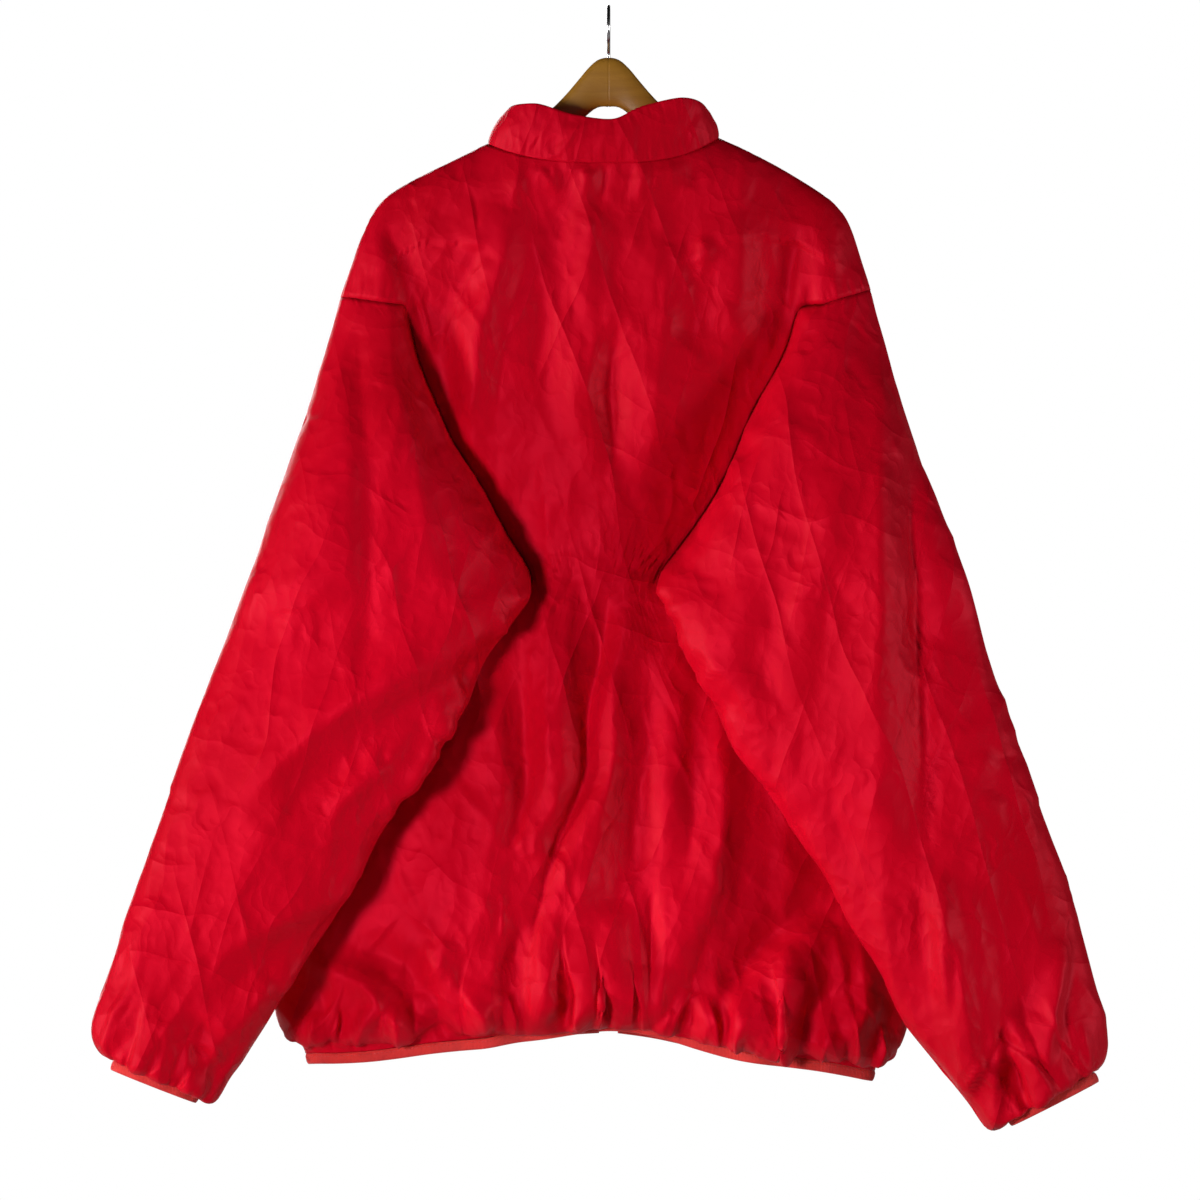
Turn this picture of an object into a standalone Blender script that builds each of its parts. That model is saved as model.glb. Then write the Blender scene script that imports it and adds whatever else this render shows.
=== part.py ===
"""A lightly padded jacket with very full sleeves, hanging by its shoulders on a wooden hanger.

Metres, +Z up. The garment's back faces -Y and its zip faces +Y. The origin is the top of the
hook's inside, where a rod bears. The cloth is one skin of points, worked out ring by ring from
the tables below, and each cut piece is a padded wall made from its own faces of that skin.
"""

import math

import bmesh
import bpy
import numpy as np

WALL = 0.004  # two layers of nylon with thin wadding between them
SEAM = 0.0003  # what parts two pieces at a seam
SEWN_SHARE = 0.7  # the wall's thickness where it is sewn, beside its full thickness
BINDING_TALL = 0.0095  # elastic binding at the hem and the cuffs
BINDING_LEAN = 0.99  # its lower edge's size beside its seam's
ZIP_HALF = 0.008  # from the middle of the zip to the front's edge
TEETH_SHARE = 0.34  # of that half, what one row of teeth takes
TAPE_DEPTH = 0.0016  # how far the tape lies below the cloth's face
TAPE_THICK = 0.0012
TEETH_PROUD = 0.0006
MOST_REACH = 1.35  # the wall's depth at a crease, beside its thickness
LEAST_LEAN = 0.35  # how squarely the wall goes in from each face that meets at a corner
LEAN_STEP = 0.15
LEAN_TURNS = 40
ROUND = 2.35  # squareness of the rings: 2 is an ellipse

FRONT_COLUMNS = 9
CAP_FRONT_COLUMNS = 4
CAP_BACK_COLUMNS = 8
BACK_COLUMNS = 20
UNDER_COLUMNS = 7

# Where the armhole meets the yoke's last ring, as an angle from the shoulder seam.
BACK_RUN_LEFT = math.radians(44)
BACK_RUN_RIGHT = math.radians(48)
FRONT_RUN = math.radians(32)


class Table:
    """Named columns of sizes, read between the rows along one smooth curve."""

    def __init__(self, names, rows):
        self.names = names.split()
        self.rows = np.array(sorted(rows), float)

    def at(self, name, where):
        xs = self.rows[:, 0]
        ys = self.rows[:, self.names.index(name)]
        step = np.diff(xs)
        rise = np.diff(ys) / step
        slope = np.zeros(len(xs))
        inner = slope[1:-1]
        same = rise[:-1] * rise[1:] > 0
        inner[same] = 2 / (1 / rise[:-1][same] + 1 / rise[1:][same])
        slope[0], slope[-1] = rise[0], rise[-1]
        k = int(np.clip(np.searchsorted(xs, where) - 1, 0, len(step) - 1))
        t = float(np.clip((where - xs[k]) / step[k], 0, 1))
        start = ys[k] * (1 + 2 * t) * (1 - t) ** 2 + slope[k] * step[k] * t * (1 - t) ** 2
        end = ys[k + 1] * t * t * (3 - 2 * t) + slope[k + 1] * step[k] * t * t * (t - 1)
        return start + end


# The yoke, from the collar seam (row 0) to the top of the armholes (row 6). Each row has its two
# ends on the shoulder seams, its height at the middle of the back and front, and its depths.
YOKE = Table(
    "row left_x left_z right_x right_z back_z front_z back_y front_y",
    [
        (0, -0.105, -0.117, 0.096, -0.112, -0.134, -0.190, 0.036, 0.042),
        (1, -0.135, -0.132, 0.139, -0.132, -0.149, -0.199, 0.035, 0.042),
        (2, -0.167, -0.147, 0.164, -0.147, -0.165, -0.209, 0.034, 0.042),
        (3, -0.195, -0.163, 0.190, -0.163, -0.184, -0.220, 0.034, 0.042),
        (4, -0.207, -0.181, 0.208, -0.181, -0.206, -0.232, 0.035, 0.043),
        (5, -0.219, -0.212, 0.217, -0.212, -0.232, -0.245, 0.036, 0.044),
        (6, -0.232, -0.254, 0.227, -0.254, -0.259, -0.259, 0.036, 0.045),
    ],
)
YOKE_ROWS = 6
YOKE_DIP = 3.0  # how late a row climbs to the shoulder seam

# The chest, from the top of the armholes down to the underarms: the sleeves' outer folds, the
# valleys where the sleeves leave the back, and the armholes' runs on the front.
CHEST = Table(
    "down left_x right_x valley_left valley_right run_left run_right"
    " out_y puff valley_y back_y run_y front_y run_drop",
    [
        (0.000, -0.232, 0.227, -0.171, 0.156, -0.200, 0.196, 0.000, 0.024, 0.026, 0.036, 0.020, 0.045, 0.000),
        (0.034, -0.242, 0.236, -0.166, 0.154, -0.203, 0.198, 0.006, 0.034, 0.027, 0.037, 0.020, 0.046, 0.001),
        (0.086, -0.259, 0.254, -0.152, 0.131, -0.206, 0.201, 0.016, 0.062, 0.028, 0.038, 0.018, 0.047, 0.003),
        (0.143, -0.279, 0.273, -0.123, 0.105, -0.210, 0.205, 0.030, 0.082, 0.029, 0.038, 0.014, 0.047, 0.006),
        (0.201, -0.299, 0.293, -0.087, 0.068, -0.213, 0.209, 0.046, 0.096, 0.031, 0.037, 0.008, 0.047, 0.011),
        (0.249, -0.317, 0.310, -0.058, 0.033, -0.216, 0.212, 0.058, 0.102, 0.033, 0.036, 0.000, 0.046, 0.016),
    ],
)
CHEST_TOP = -0.254
CHEST_ROWS = 8
CHEST_DEEP = 0.249
CAP_ROUND = 2.4

# The trunk below the underarms, by the share of the way down to the hem.
TRUNK = Table(
    "share left_x right_x valley_left valley_right back_y front_y",
    [
        (0.00, -0.216, 0.212, -0.058, 0.033, 0.036, 0.046),
        (0.25, -0.240, 0.232, -0.100, 0.075, 0.041, 0.050),
        (0.50, -0.264, 0.250, -0.140, 0.118, 0.048, 0.054),
        (0.75, -0.284, 0.262, -0.178, 0.160, 0.056, 0.058),
        (0.90, -0.290, 0.261, -0.195, 0.182, 0.061, 0.060),
        (0.96, -0.281, 0.250, -0.198, 0.186, 0.057, 0.056),
        (1.00, -0.262, 0.231, -0.196, 0.184, 0.047, 0.046),
    ],
)
TRUNK_SHARES = (0.08, 0.17, 0.26, 0.35, 0.44, 0.53, 0.62, 0.70)
GATHERED_SHARES = (0.78, 0.85, 0.90, 0.94, 0.97)
UNDERARM_Z = -0.505
YOKE_SAG = 0.005  # how far a ring hangs lower at the middle of the back than at the armholes
UNDERARM_SAG = 0.002
FRONT_SAG = 0.008
BOTTOM_RUN_SAG = 0.026  # how far the armhole's lowest seam hangs, behind the sleeve

# The hem's lower outline across the garment, and where its binding is tucked up out of sight.
HEM = Table(
    "x bottom tuck",
    [
        (-0.262, -0.914, 0.0),
        (-0.159, -0.905, 0.0),
        (-0.115, -0.901, 0.1),
        (-0.077, -0.894, 0.8),
        (0.000, -0.888, 1.0),
        (0.031, -0.891, 1.0),
        (0.077, -0.901, 0.6),
        (0.115, -0.909, 0.1),
        (0.148, -0.915, 0.0),
        (0.231, -0.928, 0.0),
    ],
)
TUCK_IN = 0.012
TUCK_UP = 0.012
FOLD_OVER = 0.009  # from the last full ring of cloth down to the binding's seam

# The sleeves below the underarms: each ring's outer and inner ends as the back shows them, its
# middle depth and its thickness.
SLEEVE_NAMES = "ring out_x out_z in_x in_z mid_y thick"
SLEEVE_LEFT = Table(
    SLEEVE_NAMES,
    [
        (0, -0.317, -0.503, -0.058, -0.503, -0.060, 0.070),
        (1, -0.327, -0.531, -0.062, -0.512, -0.051, 0.098),
        (2, -0.339, -0.564, -0.090, -0.546, -0.058, 0.090),
        (3, -0.355, -0.603, -0.117, -0.588, -0.064, 0.082),
        (4, -0.371, -0.650, -0.140, -0.624, -0.069, 0.074),
        (5, -0.387, -0.696, -0.166, -0.672, -0.073, 0.068),
        (6, -0.403, -0.739, -0.189, -0.709, -0.073, 0.068),
        (7, -0.418, -0.782, -0.214, -0.755, -0.073, 0.068),
        (8, -0.431, -0.822, -0.241, -0.796, -0.073, 0.069),
        (9, -0.441, -0.856, -0.267, -0.834, -0.073, 0.070),
        (10, -0.446, -0.878, -0.287, -0.868, -0.072, 0.070),
        (11, -0.445, -0.889, -0.300, -0.890, -0.071, 0.066),
        (12, -0.440, -0.896, -0.318, -0.914, -0.070, 0.058),
        (13, -0.432, -0.901, -0.343, -0.936, -0.070, 0.050),
    ],
)
SLEEVE_RIGHT = Table(
    SLEEVE_NAMES,
    [
        (0, 0.310, -0.503, 0.033, -0.503, -0.060, 0.070),
        (1, 0.318, -0.531, 0.037, -0.512, -0.051, 0.098),
        (2, 0.330, -0.564, 0.062, -0.552, -0.058, 0.090),
        (3, 0.344, -0.603, 0.084, -0.589, -0.064, 0.082),
        (4, 0.360, -0.648, 0.109, -0.637, -0.069, 0.074),
        (5, 0.377, -0.694, 0.137, -0.681, -0.073, 0.068),
        (6, 0.394, -0.739, 0.162, -0.720, -0.073, 0.068),
        (7, 0.407, -0.782, 0.190, -0.761, -0.073, 0.068),
        (8, 0.417, -0.822, 0.215, -0.801, -0.073, 0.069),
        (9, 0.425, -0.856, 0.238, -0.842, -0.073, 0.070),
        (10, 0.430, -0.880, 0.258, -0.882, -0.072, 0.070),
        (11, 0.430, -0.893, 0.278, -0.908, -0.071, 0.066),
        (12, 0.428, -0.903, 0.305, -0.934, -0.070, 0.058),
        (13, 0.424, -0.911, 0.334, -0.957, -0.070, 0.050),
    ],
)
SLEEVE_ROWS = 13
CUFF_GATHERED_FROM = 9
UNDER_FROM = -0.2  # where the sleeve's underside begins, from -1 at its outer fold to 1
CLEAR = 0.009  # between the skin of a sleeve and the skin of the trunk behind it
SIDE_CLEAR = 0.029  # the same past the trunk's side, where the sleeve turns round it
CREST_UP = 0.018
CREST_OUT = 0.0055
CREST_END_OUT = 0.010
UNDERARM_OUT = 0.010  # from the underarm's end to the sleeve's crest
UNDERARM_BACK = 0.010
CUFF_IN = 0.008  # the cloth swells past its cuff binding by this much
CUFF_DOWN = 0.003
CUFF_FLATTENED = 0.25  # what is left of the gathers where the binding holds them

# The collar's upper edge, by the turn from the middle of the back, in degrees.
COLLAR = Table(
    "turn x y z",
    [
        (-180, 0.000, 0.041, -0.140),
        (-174, -0.008, 0.041, -0.140),
        (-150, -0.048, 0.040, -0.130),
        (-120, -0.079, 0.026, -0.103),
        (-90, -0.088, 0.002, -0.089),
        (-64, -0.081, -0.020, -0.084),
        (-45, -0.064, -0.031, -0.083),
        (-22, -0.030, -0.036, -0.093),
        (0, 0.002, -0.037, -0.097),
        (20, 0.028, -0.036, -0.086),
        (42, 0.064, -0.031, -0.078),
        (64, 0.079, -0.020, -0.081),
        (90, 0.086, 0.002, -0.089),
        (120, 0.077, 0.026, -0.103),
        (150, 0.047, 0.040, -0.130),
        (174, 0.008, 0.041, -0.140),
        (180, 0.000, 0.041, -0.140),
    ],
)
COLLAR_ROWS = 3
COLLAR_BOW = 0.003

# The largest folds on the back and the sleeves: a line from one end to the other, how wide the
# fold is on each side of it, and how far it stands out (or, below zero, sinks).
FOLD_NAMES = ("x1", "z1", "x2", "z2", "wide", "proud")
FOLDS = (
    (-0.080, -0.190, -0.112, -0.380, 0.020, 0.006),
    (-0.112, -0.210, -0.150, -0.330, 0.018, -0.003),
    (0.004, -0.280, 0.003, -0.420, 0.018, -0.005),
    (0.110, -0.190, 0.130, -0.300, 0.022, 0.005),
    (-0.020, -0.560, -0.060, -0.820, 0.028, 0.008),
    (0.050, -0.600, 0.080, -0.850, 0.028, 0.008),
    (0.010, -0.600, 0.010, -0.800, 0.020, -0.005),
    (-0.130, -0.740, -0.150, -0.860, 0.024, 0.007),
    (0.150, -0.790, 0.190, -0.870, 0.024, 0.007),
    (0.236, -0.300, 0.272, -0.640, 0.026, 0.008),
    (0.205, -0.330, 0.170, -0.560, 0.024, 0.006),
    (0.232, -0.300, 0.232, -0.720, 0.014, -0.007),
    (-0.085, -0.540, -0.250, -0.640, 0.022, 0.007),
    (-0.150, -0.480, -0.290, -0.600, 0.020, -0.006),
    (-0.200, -0.330, -0.270, -0.560, 0.024, 0.006),
    (-0.190, -0.750, -0.330, -0.820, 0.022, -0.006),
    (0.290, -0.740, 0.330, -0.900, 0.022, 0.008),
    (0.250, -0.770, 0.262, -0.860, 0.016, -0.006),
)

HEM_WAVE = 0.037  # from one gather to the next
HEM_GATHER = 0.0045
CUFF_GATHERS = 12
CUFF_GATHER = 0.0035

WOOD_TOP = (  # the hanger's hump, from its middle out to the collar
    (0.000, -0.0450),
    (0.010, -0.0475),
    (0.018, -0.0545),
    (0.026, -0.0635),
    (0.050, -0.0872),
    (0.075, -0.1060),
)
WOOD_TALL = (  # how tall the bar is, from its middle out
    (0.000, 0.0430),
    (0.026, 0.0385),
    (0.060, 0.0340),
    (0.120, 0.0290),
    (0.180, 0.0230),
    (0.192, 0.0160),
)
WOOD_HALF = 0.0062
WOOD_SIDES = 12
WOOD_SQUARE = 0.8  # 1 is an ellipse, and less is squarer
WOOD_TIP = 0.187
HOOK_WIRE = 0.0016
HOOK_INSIDE = 0.016
HOOK_STEM = ((0.0, SEAM), (0.0, 0.006), (-0.0035, 0.0108))  # y, and height above the wood
HOOK_FROM, HOOK_TO, HOOK_STEP = 232, -45, 12  # the turns of its bend, in degrees

SLIDER_Z = -0.156
SLIDER_WIDE = 0.0085
SLIDER_TALL = 0.013
PLATE_THICK = 0.0016
LUG_APART = 0.0019
LUG_WIDE = 0.0011
LUG_PROUD = 0.0034
LUG_TALL = 0.0044
LUG_SUNK = 0.0004
PLATE_CORNER = 0.0025
PIN_RADIUS = 0.0006
BARREL_INSIDE = 0.0009
BARREL_OUTSIDE = 0.0017
TAB_LONG = 0.026
TAB_WIDE = 0.0065
TAB_THICK = 0.0012
TAB_CORNER = 0.0022

FINISHES = {
    "shell": ((0.60, 0.004, 0.020), 0.42, 0.0),
    "binding": ((0.70, 0.010, 0.010), 0.60, 0.0),
    "zip tape": ((0.45, 0.004, 0.016), 0.80, 0.0),
    "zip teeth": ((0.50, 0.006, 0.018), 0.35, 0.0),
    "zip metal": ((0.55, 0.55, 0.56), 0.30, 1.0),
    "wood": ((0.30, 0.15, 0.035), 0.45, 0.0),
    "steel": ((0.62, 0.62, 0.63), 0.25, 1.0),
}


def mix(a, b, t):
    return a + (b - a) * t


def ease(t):
    t = min(max(t, 0.0), 1.0)
    return t * t * (3 - 2 * t)


def rounded(angle, square=ROUND):
    """Across and out, from 1 and 0 at the fold to 0 and 1 at the middle of a rounded ring."""
    return abs(math.cos(angle)) ** (2 / square), abs(math.sin(angle)) ** (2 / square)


def steps(start, end, count):
    return [mix(start, end, i / count) for i in range(count + 1)]


def fold_relief(x, z):
    """How far the largest folds lift the camera side of the cloth here."""
    lift = 0.0
    for x1, z1, x2, z2, wide, proud in FOLDS:
        along_x, along_z = x2 - x1, z2 - z1
        length = math.hypot(along_x, along_z)
        along = ((x - x1) * along_x + (z - z1) * along_z) / length**2
        aside = abs((x - x1) * along_z - (z - z1) * along_x) / length
        if 0 < along < 1 and aside < 3 * wide:
            lift += proud * math.sin(math.pi * along) ** 0.7 * math.exp(-((aside / wide) ** 2))
    return lift


def hem_gather(x, share):
    """The uneven waves that the elastic draws into the lowest part of the trunk."""
    strength = ease((share - 0.70) / 0.22) * (1 - 0.45 * ease((share - 0.95) / 0.05))
    wave = math.sin(2 * math.pi * (x / HEM_WAVE + 0.28 * math.sin(x * 31)))
    uneven = 0.7 + 0.3 * math.sin(x * 47 + 1.3)
    return HEM_GATHER * strength * wave * uneven


class Skin:
    """The garment's face as points and faces. Each face belongs to one cut piece."""

    def __init__(self):
        self.points = []
        self.pieces = {}

    def ring(self, groups):
        """Adds a closed ring made of named stretches, each ending where the next one starts."""
        first = len(self.points)
        row = {}
        for name, points in groups:
            start = len(self.points)
            row[name] = list(range(start, start + len(points)))
            self.points += points[:-1]
        row[groups[-1][0]][-1] = first
        return row

    def band(self, piece, upper, lower):
        """Faces between two stretches; the lower may have two points for each one above."""
        faces = self.pieces.setdefault(piece, [])
        split = (len(lower) - 1) // (len(upper) - 1)
        for c in range(len(upper) - 1):
            under = lower[c * split : (c + 1) * split + 1]
            faces.append((upper[c], *under, upper[c + 1]))

    def measure(self):
        """The outward direction at each point, and how far the wall's other face lies along it."""
        self.at = np.array(self.points, float)
        self.out = np.zeros_like(self.at)
        flats = [[] for _ in self.points]
        for faces in self.pieces.values():
            for face in faces:
                corners = self.at[list(face)]
                after = np.roll(corners, -1, axis=0) - corners
                before = np.roll(corners, 1, axis=0) - corners
                flat = np.cross(corners, np.roll(corners, -1, axis=0)).sum(axis=0)
                flat /= np.linalg.norm(flat)
                lengths = np.linalg.norm(after, axis=1) * np.linalg.norm(before, axis=1)
                cosines = np.clip((after * before).sum(axis=1) / lengths, -1, 1)
                for corner, angle in zip(face, np.arccos(cosines)):
                    self.out[corner] += flat * angle
                    flats[corner].append(flat)
        self.out /= np.linalg.norm(self.out, axis=1)[:, None]
        self.reach = np.ones(len(self.points))
        for corner, normals in enumerate(flats):
            lean = np.array(normals) @ self.out[corner]
            for _ in range(LEAN_TURNS):
                if lean.min() > LEAST_LEAN:
                    break
                self.out[corner] += normals[lean.argmin()] * LEAN_STEP
                self.out[corner] /= np.linalg.norm(self.out[corner])
                lean = np.array(normals) @ self.out[corner]
            self.reach[corner] = min(1 / max(lean.mean(), 0.5), MOST_REACH)

    def wall(self, faces, start=0.0, thick=WALL):
        """A closed wall over these faces, drawn back by half the seam gap along its edges."""
        used = sorted({corner for face in faces for corner in face})
        place = {corner: index for index, corner in enumerate(used)}
        edges = {}
        for face in faces:
            for a, b in zip(face, face[1:] + face[:1]):
                edges[a, b] = face
        rim = [(a, b) for a, b in edges if (b, a) not in edges]
        inward = {}
        for a, b in rim:
            along = self.at[b] - self.at[a]
            middle = self.at[list(edges[a, b])].mean(axis=0) - (self.at[a] + self.at[b]) / 2
            middle -= along * (middle @ along) / (along @ along)
            middle /= np.linalg.norm(middle)
            inward.setdefault(a, []).append(middle)
            inward.setdefault(b, []).append(middle)
        outer = self.at[used] - self.out[used] * start
        for corner, ways in inward.items():
            total = np.sum(ways, axis=0)
            scale = len(ways) / max(total @ total, 0.5)
            outer[place[corner]] += total * scale * SEAM / 2
        depth = thick * self.reach[used]
        depth[[place[corner] for corner in inward]] *= SEWN_SHARE
        inner = outer - self.out[used] * depth[:, None]
        count = len(used)
        solid = [tuple(place[corner] for corner in face) for face in faces]
        solid += [(count + face[0], *(count + corner for corner in face[:0:-1])) for face in solid]
        for a, b in rim:
            out_a, out_b, in_a, in_b = place[a], place[b], count + place[a], count + place[b]
            if a < b:
                solid += [(out_b, out_a, in_b), (out_a, in_a, in_b)]
            else:
                solid += [(out_b, out_a, in_a), (out_b, in_a, in_b)]
        return np.vstack([outer, inner]), solid


def yoke_ring(row):
    """One ring of the yoke, from the middle of the zip round the back and home again."""
    size = {name: YOKE.at(name, row) for name in YOKE.names[1:]}

    def point(angle, on_back):
        across, out = rounded(angle)
        side = "left" if math.cos(angle) > 0 else "right"
        middle_z = size["back_z"] if on_back else size["front_z"]
        x = size[side + "_x"] * across
        y = -size["back_y"] * out if on_back else size["front_y"] * out
        z = mix(middle_z, size[side + "_z"], across**YOKE_DIP)
        if on_back:
            y -= fold_relief(x, z) * min(out * 2, 1)
        return (x, y, z)

    def zip_edge(side):
        return (side * ZIP_HALF, size["front_y"], size["front_z"])

    def stretch(start, end, count, on_back):
        return [point(angle, on_back) for angle in steps(start, end, count)]

    half = math.pi / 2
    near = math.radians(4)
    middle = (0.0, size["front_y"], size["front_z"])
    left = stretch(half - near, FRONT_RUN, FRONT_COLUMNS, False)
    right = stretch(math.pi - FRONT_RUN, half + near, FRONT_COLUMNS, False)
    left[0], right[-1] = zip_edge(-1), zip_edge(1)
    run = (BACK_RUN_LEFT, math.pi - BACK_RUN_RIGHT)
    return [
        ("tape_left", [middle, left[0]]),
        ("front_left", left),
        ("cap_front_left", stretch(FRONT_RUN, 0, CAP_FRONT_COLUMNS, False)),
        ("cap_back_left", stretch(0, run[0], CAP_BACK_COLUMNS, True)),
        ("back", stretch(run[0], run[1], BACK_COLUMNS, True)),
        ("cap_back_right", stretch(run[1], math.pi, CAP_BACK_COLUMNS, True)),
        ("cap_front_right", stretch(math.pi, math.pi - FRONT_RUN, CAP_FRONT_COLUMNS, False)),
        ("front_right", right),
        ("tape_right", [right[-1], middle]),
    ]


def chest_ring(down):
    """One ring between the armholes' tops and the underarms, sleeves included."""
    size = {name: CHEST.at(name, down) for name in CHEST.names[1:]}
    z = CHEST_TOP - down
    settle = ease(down / CHEST_DEEP)
    middle_z = z - mix(YOKE_SAG, UNDERARM_SAG, settle)
    run_z = z - size["run_drop"]

    def cap_back(side):
        out_x, valley_x = size[side + "_x"], size["valley_" + side]
        lift = size["puff"] - (size["out_y"] + size["valley_y"]) / 2
        square = mix(1.8, CAP_ROUND, settle)
        points = []
        for angle in steps(0, math.pi, CAP_BACK_COLUMNS):
            t = (1 - math.cos(angle)) / 2
            x = mix(out_x, valley_x, t)
            y = -mix(size["out_y"], size["valley_y"], t) - lift * rounded(angle, square)[1]
            y -= fold_relief(x, z) * math.sin(angle)
            points.append((x, y, z))
        return points

    def cap_front(side):
        out_x, run_x = size[side + "_x"], size["run_" + side]
        points = []
        for angle in steps(math.pi / 2, 0, CAP_FRONT_COLUMNS):
            t = 1 - math.cos(angle)
            rise = math.sin(angle)
            y = mix(-size["out_y"], size["run_y"], rise)
            points.append((mix(out_x, run_x, t), y, mix(z, run_z, t)))
        return points

    def front(side):
        run_x = size["run_" + side]
        edge = -ZIP_HALF if side == "left" else ZIP_HALF
        points = []
        turn = mix(math.pi / 2 - FRONT_RUN, math.pi / 2, settle)
        end_across, end_out = rounded(math.pi / 2 - turn)
        for t in steps(0, 1, FRONT_COLUMNS):
            across, out = rounded(math.pi / 2 - turn * t)
            x = mix(edge, run_x, across / end_across)
            y = mix(size["run_y"], size["front_y"], (out - end_out) / (1 - end_out))
            points.append((x, y, mix(middle_z - FRONT_SAG * settle, run_z, t)))
        return points

    back = []
    for t in steps(-1, 1, BACK_COLUMNS):
        x = mix(size["valley_left"], size["valley_right"], (t + 1) / 2)
        flat = 1 - abs(t) ** 2.4
        y = -mix(size["valley_y"], size["back_y"], flat)
        here = mix(z, middle_z, flat)
        back.append((x, y - fold_relief(x, here) * flat**0.3, here))
    left, right = front("left"), front("right")
    middle = (0.0, left[0][1], left[0][2])
    return [
        ("tape_left", [middle, left[0]]),
        ("front_left", left),
        ("cap_front_left", cap_front("left")),
        ("cap_back_left", cap_back("left")),
        ("back", back),
        ("cap_back_right", cap_back("right")[::-1]),
        ("cap_front_right", cap_front("right")[::-1]),
        ("front_right", right[::-1]),
        ("tape_right", [right[0], middle]),
    ]


def trunk_side(x):
    return "left" if x < 0 else "right"


def trunk_back_y(x, z):
    """Depth of the trunk's back at a place behind a sleeve, or None past the trunk's side."""
    hem = HEM.at("bottom", x) + BINDING_TALL
    share = min(max((UNDERARM_Z - z) / (UNDERARM_Z - hem), 0), 1)
    across = abs(x) / (abs(TRUNK.at(trunk_side(x) + "_x", share)) + SIDE_CLEAR)
    if across >= 1:
        return None
    return -TRUNK.at("back_y", share) * math.sqrt(1 - across**2)


def bottom_run(side, count):
    """The lowest seam of an armhole, from the underarm at the side to the valley on the back."""
    out_x = TRUNK.at(side + "_x", 0)
    valley_x = TRUNK.at("valley_" + side, 0)
    valley_turn = math.acos((valley_x / out_x) ** (ROUND / 2))
    side_z = CHEST_TOP - CHEST_DEEP - CHEST.at("run_drop", CHEST_DEEP)
    valley_z = CHEST_TOP - CHEST_DEEP
    points = []
    for t in steps(0, 1, count):
        across, out = rounded(valley_turn * t)
        y = -TRUNK.at("back_y", 0) * out
        z = mix(side_z, valley_z, t) - BOTTOM_RUN_SAG * math.sin(math.pi * t) ** 1.5
        points.append((out_x * across, y, z))
    return points


def trunk_ring(share, split, fold=None):
    """One ring of the trunk. fold is None, or "low" and "edge" for the two rings at the hem."""
    at = min(share, 1.0)
    size = {name: TRUNK.at(name, at) for name in TRUNK.names[1:]}
    side_z = CHEST_TOP - CHEST_DEEP - CHEST.at("run_drop", CHEST_DEEP)

    def place(x, y, top_z, on_back):
        hem = HEM.at("bottom", x)
        tuck = HEM.at("tuck", x) if on_back else 0.0
        edge_z = hem + BINDING_TALL + tuck * (TUCK_UP - BINDING_TALL)
        z = mix(top_z, edge_z, at)
        wave = hem_gather(x if on_back else x + 0.5 * HEM_WAVE, at)
        if not on_back:
            wave *= ease((abs(x) - ZIP_HALF) / HEM_WAVE)
        facing = min(abs(y) / size["back_y"], 1)
        direction = -1 if on_back else 1
        relief = fold_relief(x, z) if on_back else 0.0
        y += direction * (wave + relief) * facing
        if fold == "low":
            z = mix(edge_z + FOLD_OVER, hem + 0.001, tuck)
        if fold == "edge":
            z = edge_z
            y -= direction * (0.002 + TUCK_IN * tuck) * facing
        return (x, y, z)

    def hidden(side):
        valley_turn = math.acos(min((size["valley_" + side] / size[side + "_x"]) ** (ROUND / 2), 1))
        run = bottom_run(side, UNDER_COLUMNS * split)
        points = []
        for t, (_, _, top_z) in zip(steps(0, 1, UNDER_COLUMNS * split), run):
            across, out = rounded(valley_turn * t)
            points.append(place(size[side + "_x"] * across, -size["back_y"] * out, top_z, True))
        return points

    def front(side):
        points = []
        for t in steps(0, 1, FRONT_COLUMNS * split):
            across, out = rounded(math.pi / 2 * (1 - t))
            x = mix(-ZIP_HALF if side == "left" else ZIP_HALF, size[side + "_x"], across)
            top_z = mix(UNDERARM_Z - FRONT_SAG, side_z, t)
            points.append(place(x, size["front_y"] * out, top_z, False))
        return points

    back = []
    for t in steps(0, 1, BACK_COLUMNS * split):
        x = mix(size["valley_left"], size["valley_right"], t)
        across = abs(x / size[trunk_side(x) + "_x"])
        y = -size["back_y"] * (1 - across**ROUND) ** (1 / ROUND)
        back.append(place(x, y, UNDERARM_Z, True))
    left, right = front("left"), front("right")
    middle = (0.0, left[0][1], left[0][2])
    hidden_left, hidden_right = hidden("left"), hidden("right")[::-1]
    hidden_left[0], hidden_right[-1] = left[-1], right[-1]
    return [
        ("tape_left", [middle, left[0]]),
        ("front_left", left),
        ("hidden_left", hidden_left),
        ("back", back),
        ("hidden_right", hidden_right),
        ("front_right", right[::-1]),
        ("tape_right", [right[0], middle]),
    ]


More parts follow.
